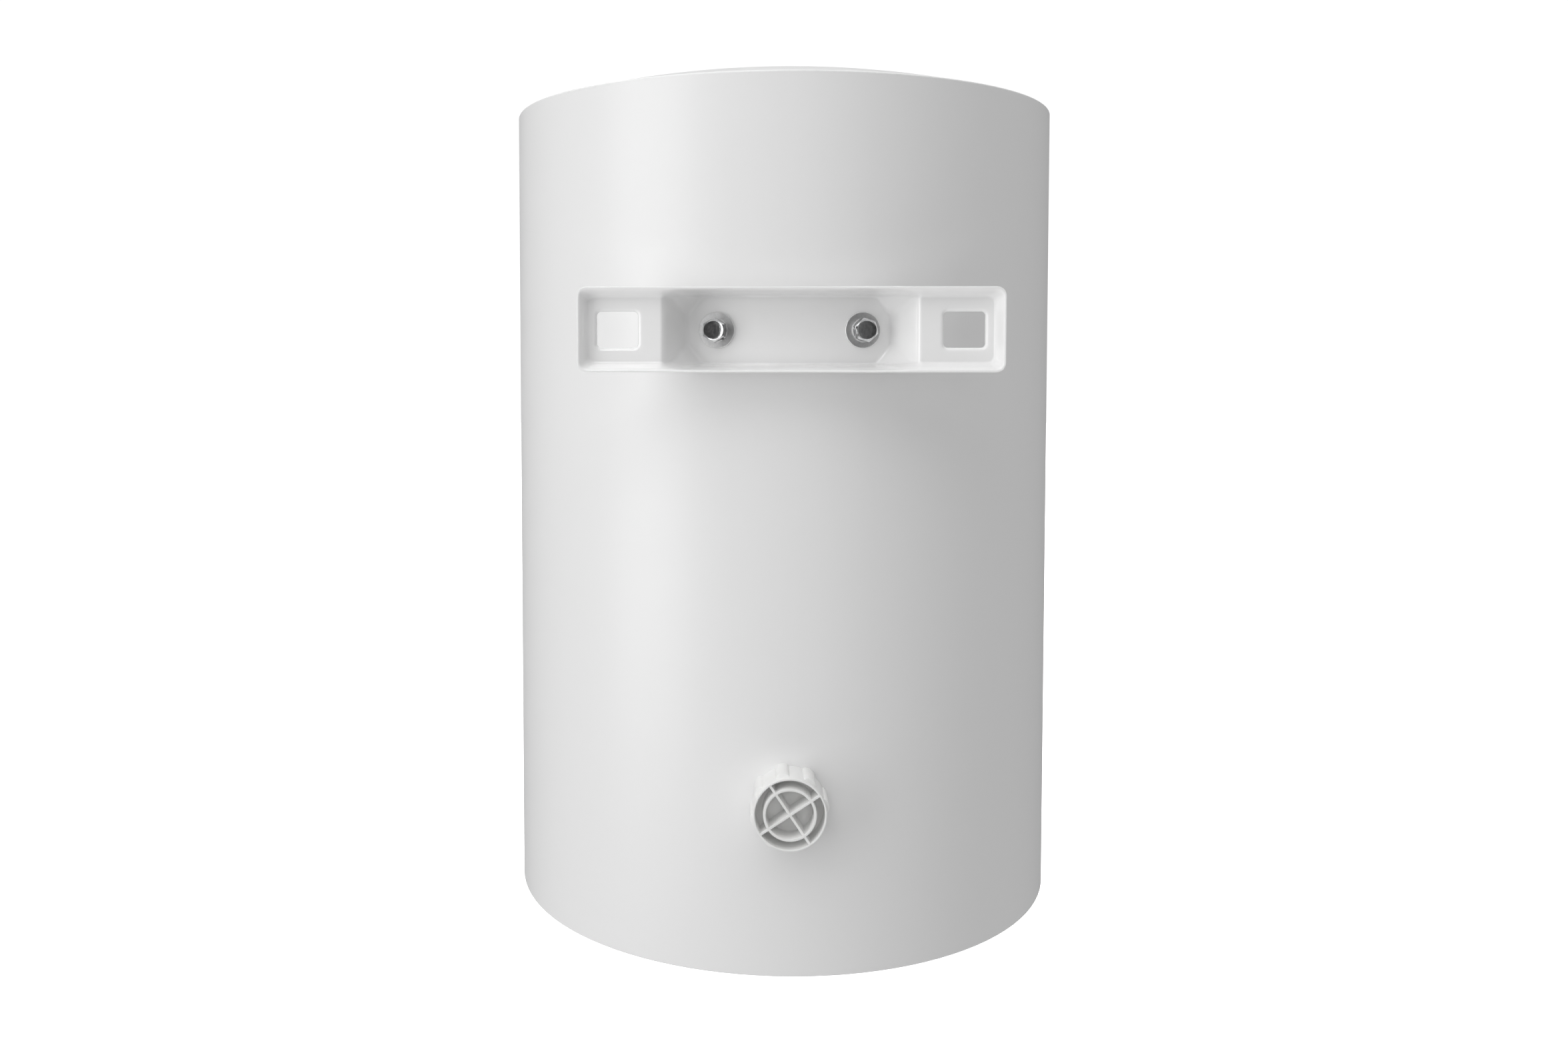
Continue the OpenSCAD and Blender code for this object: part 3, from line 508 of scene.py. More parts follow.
surfaces = {
    "white_enamel_steel": casing_enamel(),
    "white_enamel_bracket": bracket_enamel(),
    # the casing's paint on the pressed caps, a little thicker and duller
    "cap_enamel": Surface("cap_enamel", (0.82, 0.82, 0.82), 0.34, Coat_Weight=0.2, Coat_Roughness=0.2)
    .mottle((0.79, 0.79, 0.785), 0.4, 60, 4, 0.35, 0.75).patchy_gloss(0.3, 0.4, 18, 4).grain(0.018, 2.6, 2),
    # rigid foam: pale, matte and cellular
    "pu_foam": Surface("foam", (0.82, 0.72, 0.44), 0.9, Sheen_Weight=0.1)
    .mottle((0.7, 0.56, 0.28), 0.7, 15, 5, 0.35, 0.7).pores(0.35, 1.1).grain(0.3, 6, 5),
    # dark vitreous glaze over the steel tank
    "enamelled_tank": Surface("tank_glaze", (0.1, 0.14, 0.19), 0.28, Coat_Weight=0.5, Coat_Roughness=0.1)
    .mottle((0.05, 0.08, 0.12), 0.7, 12, 5, 0.4, 0.7).mottle((0.3, 0.34, 0.38), 0.8, 1.2, 3, 0.66, 0.72)
    .patchy_gloss(0.2, 0.42, 8, 4).grain(0.06, 4, 3),
    # hot-rolled steel with scale and a trace of rust at the welds
    "raw_steel": Surface("raw_steel", (0.36, 0.36, 0.37), 0.5, Metallic=0.9)
    .mottle((0.2, 0.19, 0.19), 0.8, 7, 6, 0.45, 0.7).mottle((0.3, 0.14, 0.06), 0.7, 3, 6, 0.62, 0.72)
    .patchy_gloss(0.38, 0.65, 5, 4).grain(0.04, 1.2, 5),
    # bright plating with fine grain, dull spots and handling marks over its edges
    "zinc_bolt": zinc("bright_zinc", (0.74, 0.745, 0.75), 0.2, ((0.55, 0.555, 0.56), 0.6, 1.6),
                      ((0.32, 0.32, 0.33), 0.7, 0.35), (0.88, 0.88, 0.88))
    .patchy_gloss(0.08, 0.26, 0.9, 5, 0.3, 0.75)
    .grain(0.02, 0.5, 4).grain(0.05, 3.0, 2),
    # tumbled plating, paler and duller than the bolts', with rubbed edges
    "washer_zinc": zinc("washer_zinc", (0.9, 0.9, 0.9), 0.42, ((0.74, 0.745, 0.75), 0.5, 1.4),
                        ((0.5, 0.5, 0.51), 0.5, 0.4), (0.96, 0.96, 0.96))
    .patchy_gloss(0.36, 0.52, 0.9, 5, 0.3, 0.75)
    .grain(0.02, 0.5, 4),
    # satin plating on the inner steel parts
    "zinc_plate": Surface("zinc_plate", (0.66, 0.67, 0.68), 0.36, Metallic=1.0)
    .mottle((0.5, 0.51, 0.53), 0.7, 4, 5, 0.35, 0.7).patchy_gloss(0.28, 0.48, 2, 4).grain(0.01, 0.6, 3),
    "copper_sheath": warm_metal("copper_sheath", (0.72, 0.42, 0.28), (0.35, 0.18, 0.11)),
    "brass_part": warm_metal("brass_part", (0.78, 0.62, 0.3), (0.45, 0.32, 0.13)),
    # unglazed steatite
    "ceramic_bead": Surface("ceramic", (0.86, 0.83, 0.76), 0.7)
    .mottle((0.72, 0.68, 0.6), 0.6, 1.5, 5, 0.45, 0.7).grain(0.02, 0.3, 4),
    # cast, matte and slightly pitted
    "magnesium": Surface("magnesium", (0.5, 0.5, 0.52), 0.55, Metallic=0.9)
    .mottle((0.32, 0.32, 0.33), 0.8, 3, 6, 0.4, 0.7).pores(0.08, 1.6),
    # drawn stainless pipe, brushed along its length
    "pipe_steel": Surface("pipe_steel", (0.66, 0.66, 0.65), 0.3, Metallic=1.0)
    .mottle((0.5, 0.49, 0.47), 0.5, 6, 4, 0.4, 0.7)
    .patchy_gloss(0.22, 0.42, 0.6, 3, stretch=(1, 1, 0.05)).grain(0.006, 0.35, 2, (1, 1, 0.03)),
    # moulded lens of the lamp
    "red_lens": Surface("red_lens", RED_LENS, 0.08, Transmission_Weight=0.5, IOR=1.49, Coat_Weight=0.3)
    .mottle([c * 0.85 for c in RED_LENS], 0.3, 6, 2, 0.4, 0.7)
    .patchy_gloss(0.03, 0.12, 2, 4, 0.35, 0.75).grain(0.01, 3, 1),
    # polished, with fine hairlines
    "chrome_bezel": Surface("chrome", (0.82, 0.83, 0.84), 0.07, Metallic=1.0)
    .mottle((0.66, 0.67, 0.68), 0.4, 4, 4, 0.5, 0.8)
    .patchy_gloss(0.04, 0.16, 1.2, 5, 0.35, 0.75).grain(0.0006, 0.6, 2, (1, 0.1, 1)),
    # thin clear pane over the dial
    "clear_window": Surface("window_pane", (0.96, 0.98, 0.98), 0.03, Transmission_Weight=1.0, IOR=1.45)
    .patchy_gloss(0.0, 0.07, 3, 4, 0.4, 0.8).grain(0.004, 5, 1),
}
surfaces.update({slot: moulded_plastic(*look) for slot, look in PLASTICS.items()})
surfaces.update({slot: rubber(slot, color) for slot, color in RUBBERS.items()})
materials = {slot: surface.material for slot, surface in surfaces.items()}
CAP_ENAMEL = materials["cap_enamel"]
WASHER_ZINC = materials["washer_zinc"]
INK = printed("ink_black", (0.03, 0.03, 0.035))
INK_BLUE = printed("ink_blue", (0.03, 0.14, 0.5))
INK_RED = printed("ink_red", (0.6, 0.03, 0.02))

for part in frame["record"]["subparts"]:
    node_object = frame["nodes"][part["node"]]
    node_object.data.materials.clear()
    node_object.data.materials.append(materials[part["material_slot"]])
for cap in ("top_cap", "bottom_cap"):
    frame["nodes"][cap].data.materials[0] = CAP_ENAMEL


# ---- wall bracket ----

LIP = 1.0
BAND_END = 6.2
BAND_MIDDLE = 5.0
CORNER_SLOPE_X = 0.94
CORNER_SLOPE_T = 1.0
CORNER_X = 77.0
CORNER_T = 5.0


def rim_distance(x, z):
    """Distance in from the bracket's outline, rounded in its corners."""
    return smooth_min(BRACKET_W / 2 - abs(x), BRACKET_H / 2 - abs(z), 5.0)


def jacket_depth(x):
    """Depth of the bracket's floor, which lies on the casing, behind the wall plane."""
    return -AXIS_Y - sqrt(FLOOR_R**2 - x * x)


def tray_depth(x, t):
    """Depth of the pressing at x along the bracket, a distance t in from its outline."""
    x = abs(x)
    foot_depth = jacket_depth(RAMP_FOOT)
    slope = (foot_depth - PLATE_DEPTH) / (RAMP_TOP - RAMP_FOOT)
    ramp = PLATE_DEPTH + (RAMP_TOP - x) * slope
    corner = PLATE_DEPTH + CORNER_SLOPE_X * (CORNER_X - x) + CORNER_SLOPE_T * (t - CORNER_T)
    slant = smooth_max(PLATE_DEPTH, smooth_min(ramp, corner, 2.0), 3.2)
    base = smooth_min(jacket_depth(min(x, RAMP_TOP)), slant, 3.5)
    band = lerp(BAND_MIDDLE, BAND_END, smooth_step((x - RAMP_FOOT) / (RAMP_TOP - RAMP_FOOT)))
    return base * smooth_step((t - LIP) / (band - LIP))


def rounded(u, v):
    """Moves a point of a unit square's corner onto the round corner."""
    return u * sqrt(1 - v * v / 2), v * sqrt(1 - u * u / 2)


def bracket_point(x, z):
    """A point of the bracket's skin on the wall side, its outline's corners rounded."""
    inner_x = BRACKET_W / 2 - BRACKET_CORNER
    inner_z = BRACKET_H / 2 - BRACKET_CORNER
    u = (abs(x) - inner_x) / BRACKET_CORNER
    v = (abs(z) - inner_z) / BRACKET_CORNER
    if u > 0 and v > 0:
        round_u, round_v = rounded(u, v)
        x = copysign(inner_x + round_u * BRACKET_CORNER, x)
        z = copysign(inner_z + round_v * BRACKET_CORNER, z)
    return Vector((x, -tray_depth(x, rim_distance(x, z)), z))


def mirrored(places):
    return [-p for p in reversed(places) if p > 1e-9] + places


def hole_edge(dx, dz, half_x, half_z, corner):
    """Moves a point of a rectangular loop onto a rounded one, and gives its inward direction."""
    u = (abs(dx) - (half_x - corner)) / corner
    v = (abs(dz) - (half_z - corner)) / corner
    sign_x = copysign(1, dx)
    sign_z = copysign(1, dz)
    if u > 0 and v > 0:
        round_u, round_v = rounded(u, v)
        place = (sign_x * (half_x - corner + round_u * corner),
                 sign_z * (half_z - corner + round_v * corner))
        size = hypot(round_u, round_v)
        return place, (-sign_x * round_u / size, -sign_z * round_v / size)
    if abs(abs(dx) - half_x) < 1e-6:
        return (dx, dz), (-sign_x, 0)
    return (dx, dz), (0, -sign_z)


def bracket_lines(bolt_x, roll_x, roll_z, roll_corner):
    """Columns and rows of the bracket's grid, with a line along every edge of its holes."""
    half_w = BRACKET_W / 2
    half_h = BRACKET_H / 2
    columns = spaced(
        [0, bolt_x - BOLT_HOLE, bolt_x + BOLT_HOLE, RAMP_FOOT - 5, RAMP_TOP + 5,
         WINDOW_X - roll_x, WINDOW_X - roll_x + roll_corner, WINDOW_X + roll_x - roll_corner,
         WINDOW_X + roll_x, half_w - 8, half_w - 2.4, half_w],
        [2.6, 1.125, 1.5, 0.95, 1.4, 1.2, 1.5, 1.2, 1.2, 0.65, 0.5])
    rows = spaced([0, BOLT_HOLE, roll_z - roll_corner, roll_z, half_h - 8, half_h - 2.4, half_h],
                  [1.125, 1.2, 1.2, 1.2, 0.65, 0.5])
    return mirrored(columns), mirrored(rows)


def hole_loop(columns, rows, middle, half_x, half_z):
    """The grid's places round a hole, as (column, row) numbers in order."""
    on_x = [i for i, x in enumerate(columns) if abs(x - middle) < half_x + 1e-6]
    on_z = [j for j, z in enumerate(rows) if abs(z) < half_z + 1e-6]
    loop = [(i, on_z[0]) for i in on_x] + [(on_x[-1], j) for j in on_z[1:]]
    loop += [(i, on_z[-1]) for i in reversed(on_x[:-1])]
    return loop + [(on_x[0], j) for j in reversed(on_z[1:-1])]


def roll_edge(bm, ring, inward, roll):
    """Rolls the edge of a window round, inwards and away from the wall."""
    outer = [vert.co.copy() for vert in ring]
    for degrees in (20, 40, 60, 80, 90):
        reach = roll * sin(radians(degrees))
        drop = roll * (1 - cos(radians(degrees)))
        made = [bm.verts.new(p + Vector((d[0] * reach, -drop, d[1] * reach)))
                for p, d in zip(outer, inward)]
        for n in range(len(ring)):
            m = (n + 1) % len(ring)
            bm.faces.new((ring[n], ring[m], made[m], made[n]))
        ring = made


def bracket_skin():
    """The bracket's skin on the wall side, in metres, with its windows and bolt holes."""
    roll_x = WINDOW_W / 2 + WINDOW_ROLL
    roll_z = WINDOW_H / 2 + WINDOW_ROLL
    roll_corner = WINDOW_CORNER + WINDOW_ROLL
    bolt_x = FLOOR_R * sin(radians(BOLT_ANGLE))
    columns, rows = bracket_lines(bolt_x, roll_x, roll_z, roll_corner)
    bm = bmesh.new()
    grid = [[bm.verts.new(bracket_point(x, z)) for z in rows] for x in columns]
    holes = [(s * WINDOW_X, roll_x, roll_z, roll_corner, WINDOW_ROLL) for s in (-1, 1)]
    holes += [(s * bolt_x, BOLT_HOLE, BOLT_HOLE, BOLT_HOLE, 0.0) for s in (-1, 1)]
    for i in range(len(columns) - 1):
        x = (columns[i] + columns[i + 1]) / 2
        for j in range(len(rows) - 1):
            z = (rows[j] + rows[j + 1]) / 2
            if not any(abs(x - h[0]) < h[1] and abs(z) < h[2] for h in holes):
                bm.faces.new((grid[i][j], grid[i][j + 1], grid[i + 1][j + 1], grid[i + 1][j]))
    for middle, half_x, half_z, corner, roll in holes:
        loop = hole_loop(columns, rows, middle, half_x, half_z)
        ring = [grid[i][j] for i, j in loop]
        inward = []
        for (i, j), vert in zip(loop, ring):
            spot, direction = hole_edge(columns[i] - middle, rows[j], half_x, half_z, corner)
            vert.co = bracket_point(middle + spot[0], spot[1])
            inward.append(direction)
        if roll:
            roll_edge(bm, ring, inward, roll)
    loose = [v for v in bm.verts if not v.link_faces]
    bmesh.ops.delete(bm, geom=loose, context="VERTS")
    bmesh.ops.recalc_face_normals(bm, faces=bm.faces)
    if sum(f.normal.y for f in bm.faces) < 0:
        bmesh.ops.reverse_faces(bm, faces=bm.faces)
    bmesh.ops.scale(bm, vec=(MM, MM, MM), verts=bm.verts)
    return bm


def wall_bracket():
    """The pressing: its skin, given the thickness of the sheet and smoothed once."""
    obj = new_object("wall_bracket_pressing", new_mesh("wall_bracket_pressing", bracket_skin()))
    sheet = obj.modifiers.new("sheet", "SOLIDIFY")
    sheet.thickness = PRESSING_T * MM
    sheet.offset = -1
    sheet.use_even_offset = True
    smooth = obj.modifiers.new("smooth", "SUBSURF")
    smooth.levels = smooth.render_levels = 1
    apply_modifiers(obj, 80)
    piece(obj, "white_enamel_bracket", "wall_bracket")


# ---- threads, bolts and washers ----


def thread_profile(share, depth, flat=0.12):
    """Depth below the crest at a share of one pitch."""
    rise = abs(2 * (share % 1.0) - 1)
    return depth * min(max((rise - flat) / (1 - 2 * flat), 0), 1)


def thread_rings(radius, depth, pitch, low, high, sides=72, per_pitch=8):
    """Rings of a screw thread from low to high, run out to its root at both ends."""
    count = ceil((high - low) / pitch * per_pitch)
    rings = []
    for k in range(count + 1):
        z = lerp(low, high, k / count)
        ease = smooth_step((z - low) / pitch) * smooth_step((high - z) / pitch)
        ring = []
        for s in range(sides):
            a = tau * s / sides
            cut = lerp(depth, thread_profile(z / pitch - s / sides, depth), ease)
            ring.append(polar(radius - cut, a, z))
        rings.append(ring)
    return rings


def flat_washers():
    shape = Shape()
    profile = fillet([(4.2, 0), (11, 0), (11, WASHER_T), (4.2, WASHER_T)], [0.2, 0.35, 0.45, 0.3])
    for side in (-1, 1):
        shape.revolve(profile, radial_matrix(side * BOLT_ANGLE, FLOOR_R, 0))
    obj = shape.build("bracket_washers_flat")
    piece(obj, "zinc_bolt", "bracket_flat_washers", material=WASHER_ZINC)


def spring_washers():
    """Split washers, each a square wire bent round with its ends a little apart."""
    section = fillet([(4.2, 0.05), (7.2, 0), (7.2, 1.9), (4.2, 1.85)], [0.3] * 4, 3)
    shape = Shape()
    for side, gap_at in ((-1, 200), (1, 40)):
        rings = []
        steps = 72
        for k in range(steps + 1):
            share = k / steps
            a = radians(gap_at + 6 + 348 * share)
            lift = lerp(-0.02, 0.1, share)
            rings.append([polar(r, a, h + lift) for r, h in section])
        shape.sweep(rings, radial_matrix(side * BOLT_ANGLE, FLOOR_R + WASHER_T, 0))
    obj = shape.build("bracket_washers_spring")
    piece(obj, "zinc_bolt", "bracket_spring_washers", material=WASHER_ZINC)


def hex_reach(angle, flats):
    """Radius of a hexagon with slightly rounded corners at an angle."""
    power = 50
    total = sum(abs(cos(angle - radians(60 * k))) ** power for k in range(3))
    return flats / 2 / total ** (1 / power)


def hex_head(shape, matrix, flats, height, sides=144):
    """Forged hexagon head: chamfered round face with a shallow dish pressed into it."""
    face_r = flats * 0.473
    levels = []
    for s in range(sides):
        a = tau * s / sides
        reach = hex_reach(a, flats)
        top = height - max(0, reach - face_r) * tan(radians(30))
        column = [(0, 0), (reach - 0.5, 0), (reach - 0.1, 0.12), (reach, 0.45), (reach, top - 0.12),
                  (reach - 0.14, top), (face_r, height - 0.05), (face_r - 0.1, height),
                  (face_r - 0.25, height - 0.02), (face_r - 0.45, height - 0.16),
                  (face_r - 0.8, height - 0.26), (face_r * 0.5, height - 0.3),
                  (0, height - 0.3)]
        levels.append([polar(r, a, h) for r, h in column])
    count = len(levels[0])
    points = [p for column in levels for p in column]
    faces = []
    for s in range(sides):
        t = (s + 1) % sides
        for i in range(count - 1):
            faces.append([s * count + i, t * count + i, t * count + i + 1, s * count + i + 1])
    shape.add(points, faces, matrix)


def bracket_bolts():
    shape = Shape()
    head_r = FLOOR_R + WASHER_T + SPRING_T
    for side, turn in ((-1, 43), (1, 29)):
        matrix = turned(radial_matrix(side * BOLT_ANGLE, head_r, 0), turn)
        hex_head(shape, matrix, 13.0, 5.3)
        shape.sweep(thread_rings(3.95, 0.6, 1.25, -18, -0.2, sides=36), matrix)
    piece(shape.build("bracket_hex_bolts", 32), "zinc_bolt", "bracket_bolts")


# ---- wall spacer ----

SPACER_LOW, SPACER_HIGH = box_mm("wall_spacer")
SPACER_Z = (SPACER_LOW.z + SPACER_HIGH.z) / 2
SPACER_R = 22.0
SPACER_H = -AXIS_Y - BODY_R
RIB_TURN = 34.0
RIDGE_COUNT = 8
RIDGE_HALF = 4.1
RIDGE_RISE = 1.9
RIDGE_TOP = 21.0
WEB_TOP = 11.5


def circle(radius, height, sides):
    """One closed ring of points at a height."""
    return [polar(radius, tau / sides * s, height) for s in range(sides)]


def casing_sag(across):
    """How far the casing falls away from the spacer's foot, at a distance across it."""
    return BODY_R - sqrt(BODY_R**2 - across * across)


def ridge_reach(angle, height):
    """Outside radius of the spacer: arched grip ridges that end short of the wall."""
    pitch = tau / RIDGE_COUNT
    offset = (angle - radians(RIB_TURN)) % pitch - pitch / 2
    across = abs(offset) * SPACER_R / RIDGE_HALF
    arch = sqrt(1 - across**2) if across < 1 else 0.0
    return SPACER_R + RIDGE_RISE * arch * smooth_step((RIDGE_TOP - height) / 0.6)


def spacer_cup():
    """The spacer's round cup, from its foot on the casing to the floor and the ring inside it."""
    sides = 384
    top = SPACER_H
    rings = []
    for h in (0.0, 3, 8, 13, 18, 20.2, 20.4, 20.55, 20.7, 20.85, 21, 21.3, 23, top - 0.5):
        ring = []
        for s in range(sides):
            a = tau * s / sides
            r = ridge_reach(a, h)
            foot = -casing_sag(r * sin(a)) if h == 0 else 0
            ring.append(polar(r, a, h + foot))
        rings.append(ring)
    rim = [(0.15, top - 0.12), (0.5, top), (0.8, top), (1.1, top - 0.15), (1.2, top - 0.5),
           (1.35, WEB_TOP + 1.2), (1.7, WEB_TOP + 0.3), (2.5, WEB_TOP)]
    rings += [circle(SPACER_R - inset, h, sides) for inset, h in rim]
    ring = [(16.4, WEB_TOP), (16.1, WEB_TOP + 0.3), (15.95, top - 0.4), (15.8, top - 0.12),
            (15.5, top - 0.02), (14.75, top - 0.02), (14.45, top - 0.12), (14.3, top - 0.4),
            (14.15, WEB_TOP + 0.3), (13.85, WEB_TOP), (8, WEB_TOP), (3, WEB_TOP), (0.3, WEB_TOP)]
    rings += [circle(r, h, sides) for r, h in ring]
    return Shape().sweep(rings).build("spacer_cup_ribbed")


def wall_spacer():
    low = WEB_TOP - 0.8
    half = SPACER_R - 0.9
    cup = spacer_cup()
    rib_top = SPACER_H - 0.06
    rib_section = fillet([(-0.9, low), (0.9, low), (0.75, rib_top), (-0.75, rib_top)],
                         [0, 0, 0.3, 0.3], 3)
    for turn in (0, 90):
        rib = Shape().sweep([[(x, y, h) for y, h in rib_section] for x in (-half, half)],
                            Matrix.Rotation(radians(RIB_TURN + turn), 4, "Z"))
        boolean(cup, rib.build("spacer_rib"), "UNION")
    place(cup, radial_matrix(0, BODY_R, SPACER_Z), 36)
    piece(cup, "white_plastic_spacer", "wall_spacer")


# ---- water pipes ----

COLD_LOW, COLD_HIGH = box_mm("cold_inlet_pipe")
HOT_TOP = box_mm("hot_outlet_pipe")[1].z
PIPE_U, PIPE_V = plan_of(COLD_LOW, COLD_HIGH)
PIPE_R = (COLD_HIGH.x - COLD_LOW.x) / 2
PIPE_END = COLD_LOW.z
STUB_END = RIM_BOTTOM + 32
THREAD_R = 10.48
THREAD_PITCH = 1.814
THREAD_DEPTH = 1.1
THREAD_H = 15.0
COLLAR_R = 15.5


def water_pipe(name, node, side, bore, outside):
    """A pipe with a threaded end. outside holds (radius, height) of what follows the thread."""
    sides = 72
    outside = [(PIPE_R - 0.2, THREAD_H + 0.4), (PIPE_R, THREAD_H + 0.8)] + outside
    thread = thread_rings(THREAD_R, THREAD_DEPTH, THREAD_PITCH, 0.5, THREAD_H, sides)
    root = THREAD_R - THREAD_DEPTH
    rings = [circle(root - 0.4, 0, sides)] + thread
    rings += [circle(r, h, sides) for r, h in outside]
    rings += [circle(bore, outside[-1][1], sides), circle(bore, 0.5, sides),
              circle(bore + 0.5, 0, sides)]
    shape = Shape().sweep(rings, plan_matrix(side * PIPE_U, PIPE_V, PIPE_END), close=True)
    piece(shape.build(name, 40), "pipe_steel", node)


def water_pipes():
    """The cold stub, and the hot one, which goes on up the tank as a thinner tube."""
    water_pipe("cold_pipe_threaded", "cold_inlet_pipe", 1, 8.0,
               [(PIPE_R, COLD_HIGH.z - PIPE_END)])
    water_pipe("hot_pipe_threaded", "hot_outlet_pipe", -1, 6.8,
               [(PIPE_R, STUB_END - PIPE_END), (8.0, STUB_END - PIPE_END + 0.2),
                (8.0, HOT_TOP - PIPE_END)])


def grip_notches(depth, count, above):
    """Makes a radius_of function that cuts round notches where the radius is above a limit."""
    def reach(r, h, a):
        if r < above:
            return r
        return r - depth * smooth_step(cos(count * a) * 1.6 - 0.6)
    return reach


def pipe_collar(name, node, side, slot):
    """Plastic collar round a pipe, notched for the fingers."""
    profile = fillet([(PIPE_R + 0.05, -3), (14.4, -3), (COLLAR_R, -1.9), (COLLAR_R, 0), (11.9, 0),
                      (11.9, 4), (PIPE_R + 0.05, 4)], [0.3, 0.8, 0.8, 0.2, 0.2, 0.3, 0.1])
    shape = Shape().revolve(profile, plan_matrix(side * PIPE_U, PIPE_V, FLAT_Z), 240,
                            grip_notches(0.5, 20, 14.0))
    piece(shape.build(name, 40), slot, node)


# ---- service cover and what stands on it ----

COVER_LOW, COVER_HIGH = box_mm("service_cover")
KNOB_LOW, KNOB_HIGH = box_mm("thermostat_knob")
SCREWS_LOW, SCREWS_HIGH = box_mm("cover_screws")
COVER_R = (COVER_HIGH.x - COVER_LOW.x) / 2
COVER_V = plan_of(COVER_LOW, COVER_HIGH)[1]
COVER_Z = COVER_LOW.z
COVER_H = COVER_HIGH.z - COVER_LOW.z
KNOB_U, KNOB_V = plan_of(KNOB_LOW, KNOB_HIGH)
KNOB_R = (KNOB_HIGH.x - KNOB_LOW.x) / 2
GRIP_H = 2.0
LENS_U, LENS_V = plan_of(*box_mm("lamp_lens"))
GLAND_U, GLAND_V = plan_of(*box_mm("gland_body"))
SCREW_HEAD_R = (SCREWS_HIGH.y - SCREWS_LOW.y) / 2
SCREW_U = SCREWS_HIGH.x - SCREW_HEAD_R
SCREW_V = plan_of(SCREWS_LOW, SCREWS_HIGH)[1]
SCREW_HEAD_H = 2.4
SCREW_SEAT = SCREWS_LOW.z + SCREW_HEAD_H
SCALE_START = -135
SCALE_SWEEP = 270


def cover_cuts():
    """Everything that is cut out of the cover: shaft, lamp and cord holes, and flared screw wells."""
    cuts = Shape()
    for u, v, radius in ((KNOB_U, KNOB_V, 4.5), (LENS_U, LENS_V, 5.0), (GLAND_U, GLAND_V, 7.5)):
        profile = [(0, -2), (radius + 0.6, -2), (radius + 0.6, 0), (radius, 0.6), (radius, 5), (0, 5)]
        cuts.revolve(profile, plan_matrix(u, v, COVER_Z), 72)
    well = COVER_H - 4
    for side in (-1, 1):
        profile = [(0, -2), (5.4, -2), (5.4, 0), (4.5, 0.9), (4.2, well), (2.1, well),
                   (2.1, COVER_H + 2), (0, COVER_H + 2)]
        cuts.revolve(profile, plan_matrix(side * SCREW_U, SCREW_V, COVER_Z), 60)
    recess = fillet([(KNOB_R - 3, -1), (KNOB_R + 2.2, -1), (KNOB_R + 1.6, 0.7), (KNOB_R - 3, 0.7)],
                    [0, 0, 0.4, 0.2], 3)
    cuts.revolve(recess, plan_matrix(KNOB_U, KNOB_V, COVER_Z), 144)
    return cuts.build("cover_cuts")


def service_cover():
    """Moulded cup with a round edge, a fine groove, screw columns and a recess round the knob."""
    groove = COVER_R - 13
    profile = fillet([(0, 0), (groove - 0.8, 0), (groove - 0.6, 0.6), (groove + 0.6, 0.6),
                      (groove + 0.8, 0), (COVER_R, 0), (COVER_R, COVER_H), (COVER_R - 2, COVER_H),
                      (COVER_R - 2, 2), (0, 2)],
                     [0, 0.2, 0.2, 0.2, 0.2, 8, 0.5, 0.4, 6, 0], 8)
    shape = Shape().revolve(profile, plan_matrix(0, COVER_V, COVER_Z), 240)
    cover = shape.build("service_cover_moulded")
    columns = Shape()
    for side in (-1, 1):
        column = [(0, 1), (6.5, 1), (6.4, COVER_H), (0, COVER_H)]
        columns.revolve(column, plan_matrix(side * SCREW_U, SCREW_V, COVER_Z), 60)
    boolean(cover, columns.build("cover_columns"), "UNION")
    boolean(cover, cover_cuts(), "DIFFERENCE")
    shade(cover.data, 30)
    piece(cover, "white_plastic_cover", "service_cover")


def ring_sector(shape, matrix, inner, outer, start, end, low, high):
    """A flat arc between two angles, in degrees; outer may be a function of the share along it."""
    steps = max(2, int(abs(end - start) / 3))
    rings = []
    for k in range(steps + 1):
        share = k / steps
        a = radians(lerp(start, end, share))
        reach = outer(share) if callable(outer) else outer
        rings.append([polar(inner, a, low), polar(reach, a, low), polar(reach, a, high),
                      polar(inner, a, high)])
    shape.sweep(rings, matrix)


def cover_scale():
    """Raised ticks round the knob, longer and wider towards the hot end, and a printed wedge."""
    ticks = Shape()
    count = 9
    matrix = plan_matrix(KNOB_U, KNOB_V, COVER_Z)
    for k in range(count):
        share = k / (count - 1)
        a = SCALE_START + SCALE_SWEEP * share - 90
        length = lerp(2.6, 4.2, share)
        half = lerp(0.5, 0.8, share)
        outline = fillet([(0, -half), (length, -half), (length, half), (0, half)], [0.4] * 4, 3)
        flipped = turned(matrix, a) @ Matrix.Translation((KNOB_R + 4.4, 0, 0))
        ticks.slab(outline, -0.3, 0.45, flipped @ Matrix.Rotation(pi, 4, "X"), edge=0.25)
    piece(ticks.build("cover_scale_ticks"), "white_plastic_cover")
    wedge = Shape()
    inner = KNOB_R + 2.4
    ring_sector(wedge, matrix, inner, lambda share: inner + lerp(0.25, 1.5, share),
                SCALE_START - 90, SCALE_START + SCALE_SWEEP - 90, -0.06, 0.05)
    piece(wedge.build("cover_scale_wedge"), "red_plastic", material=INK_RED)


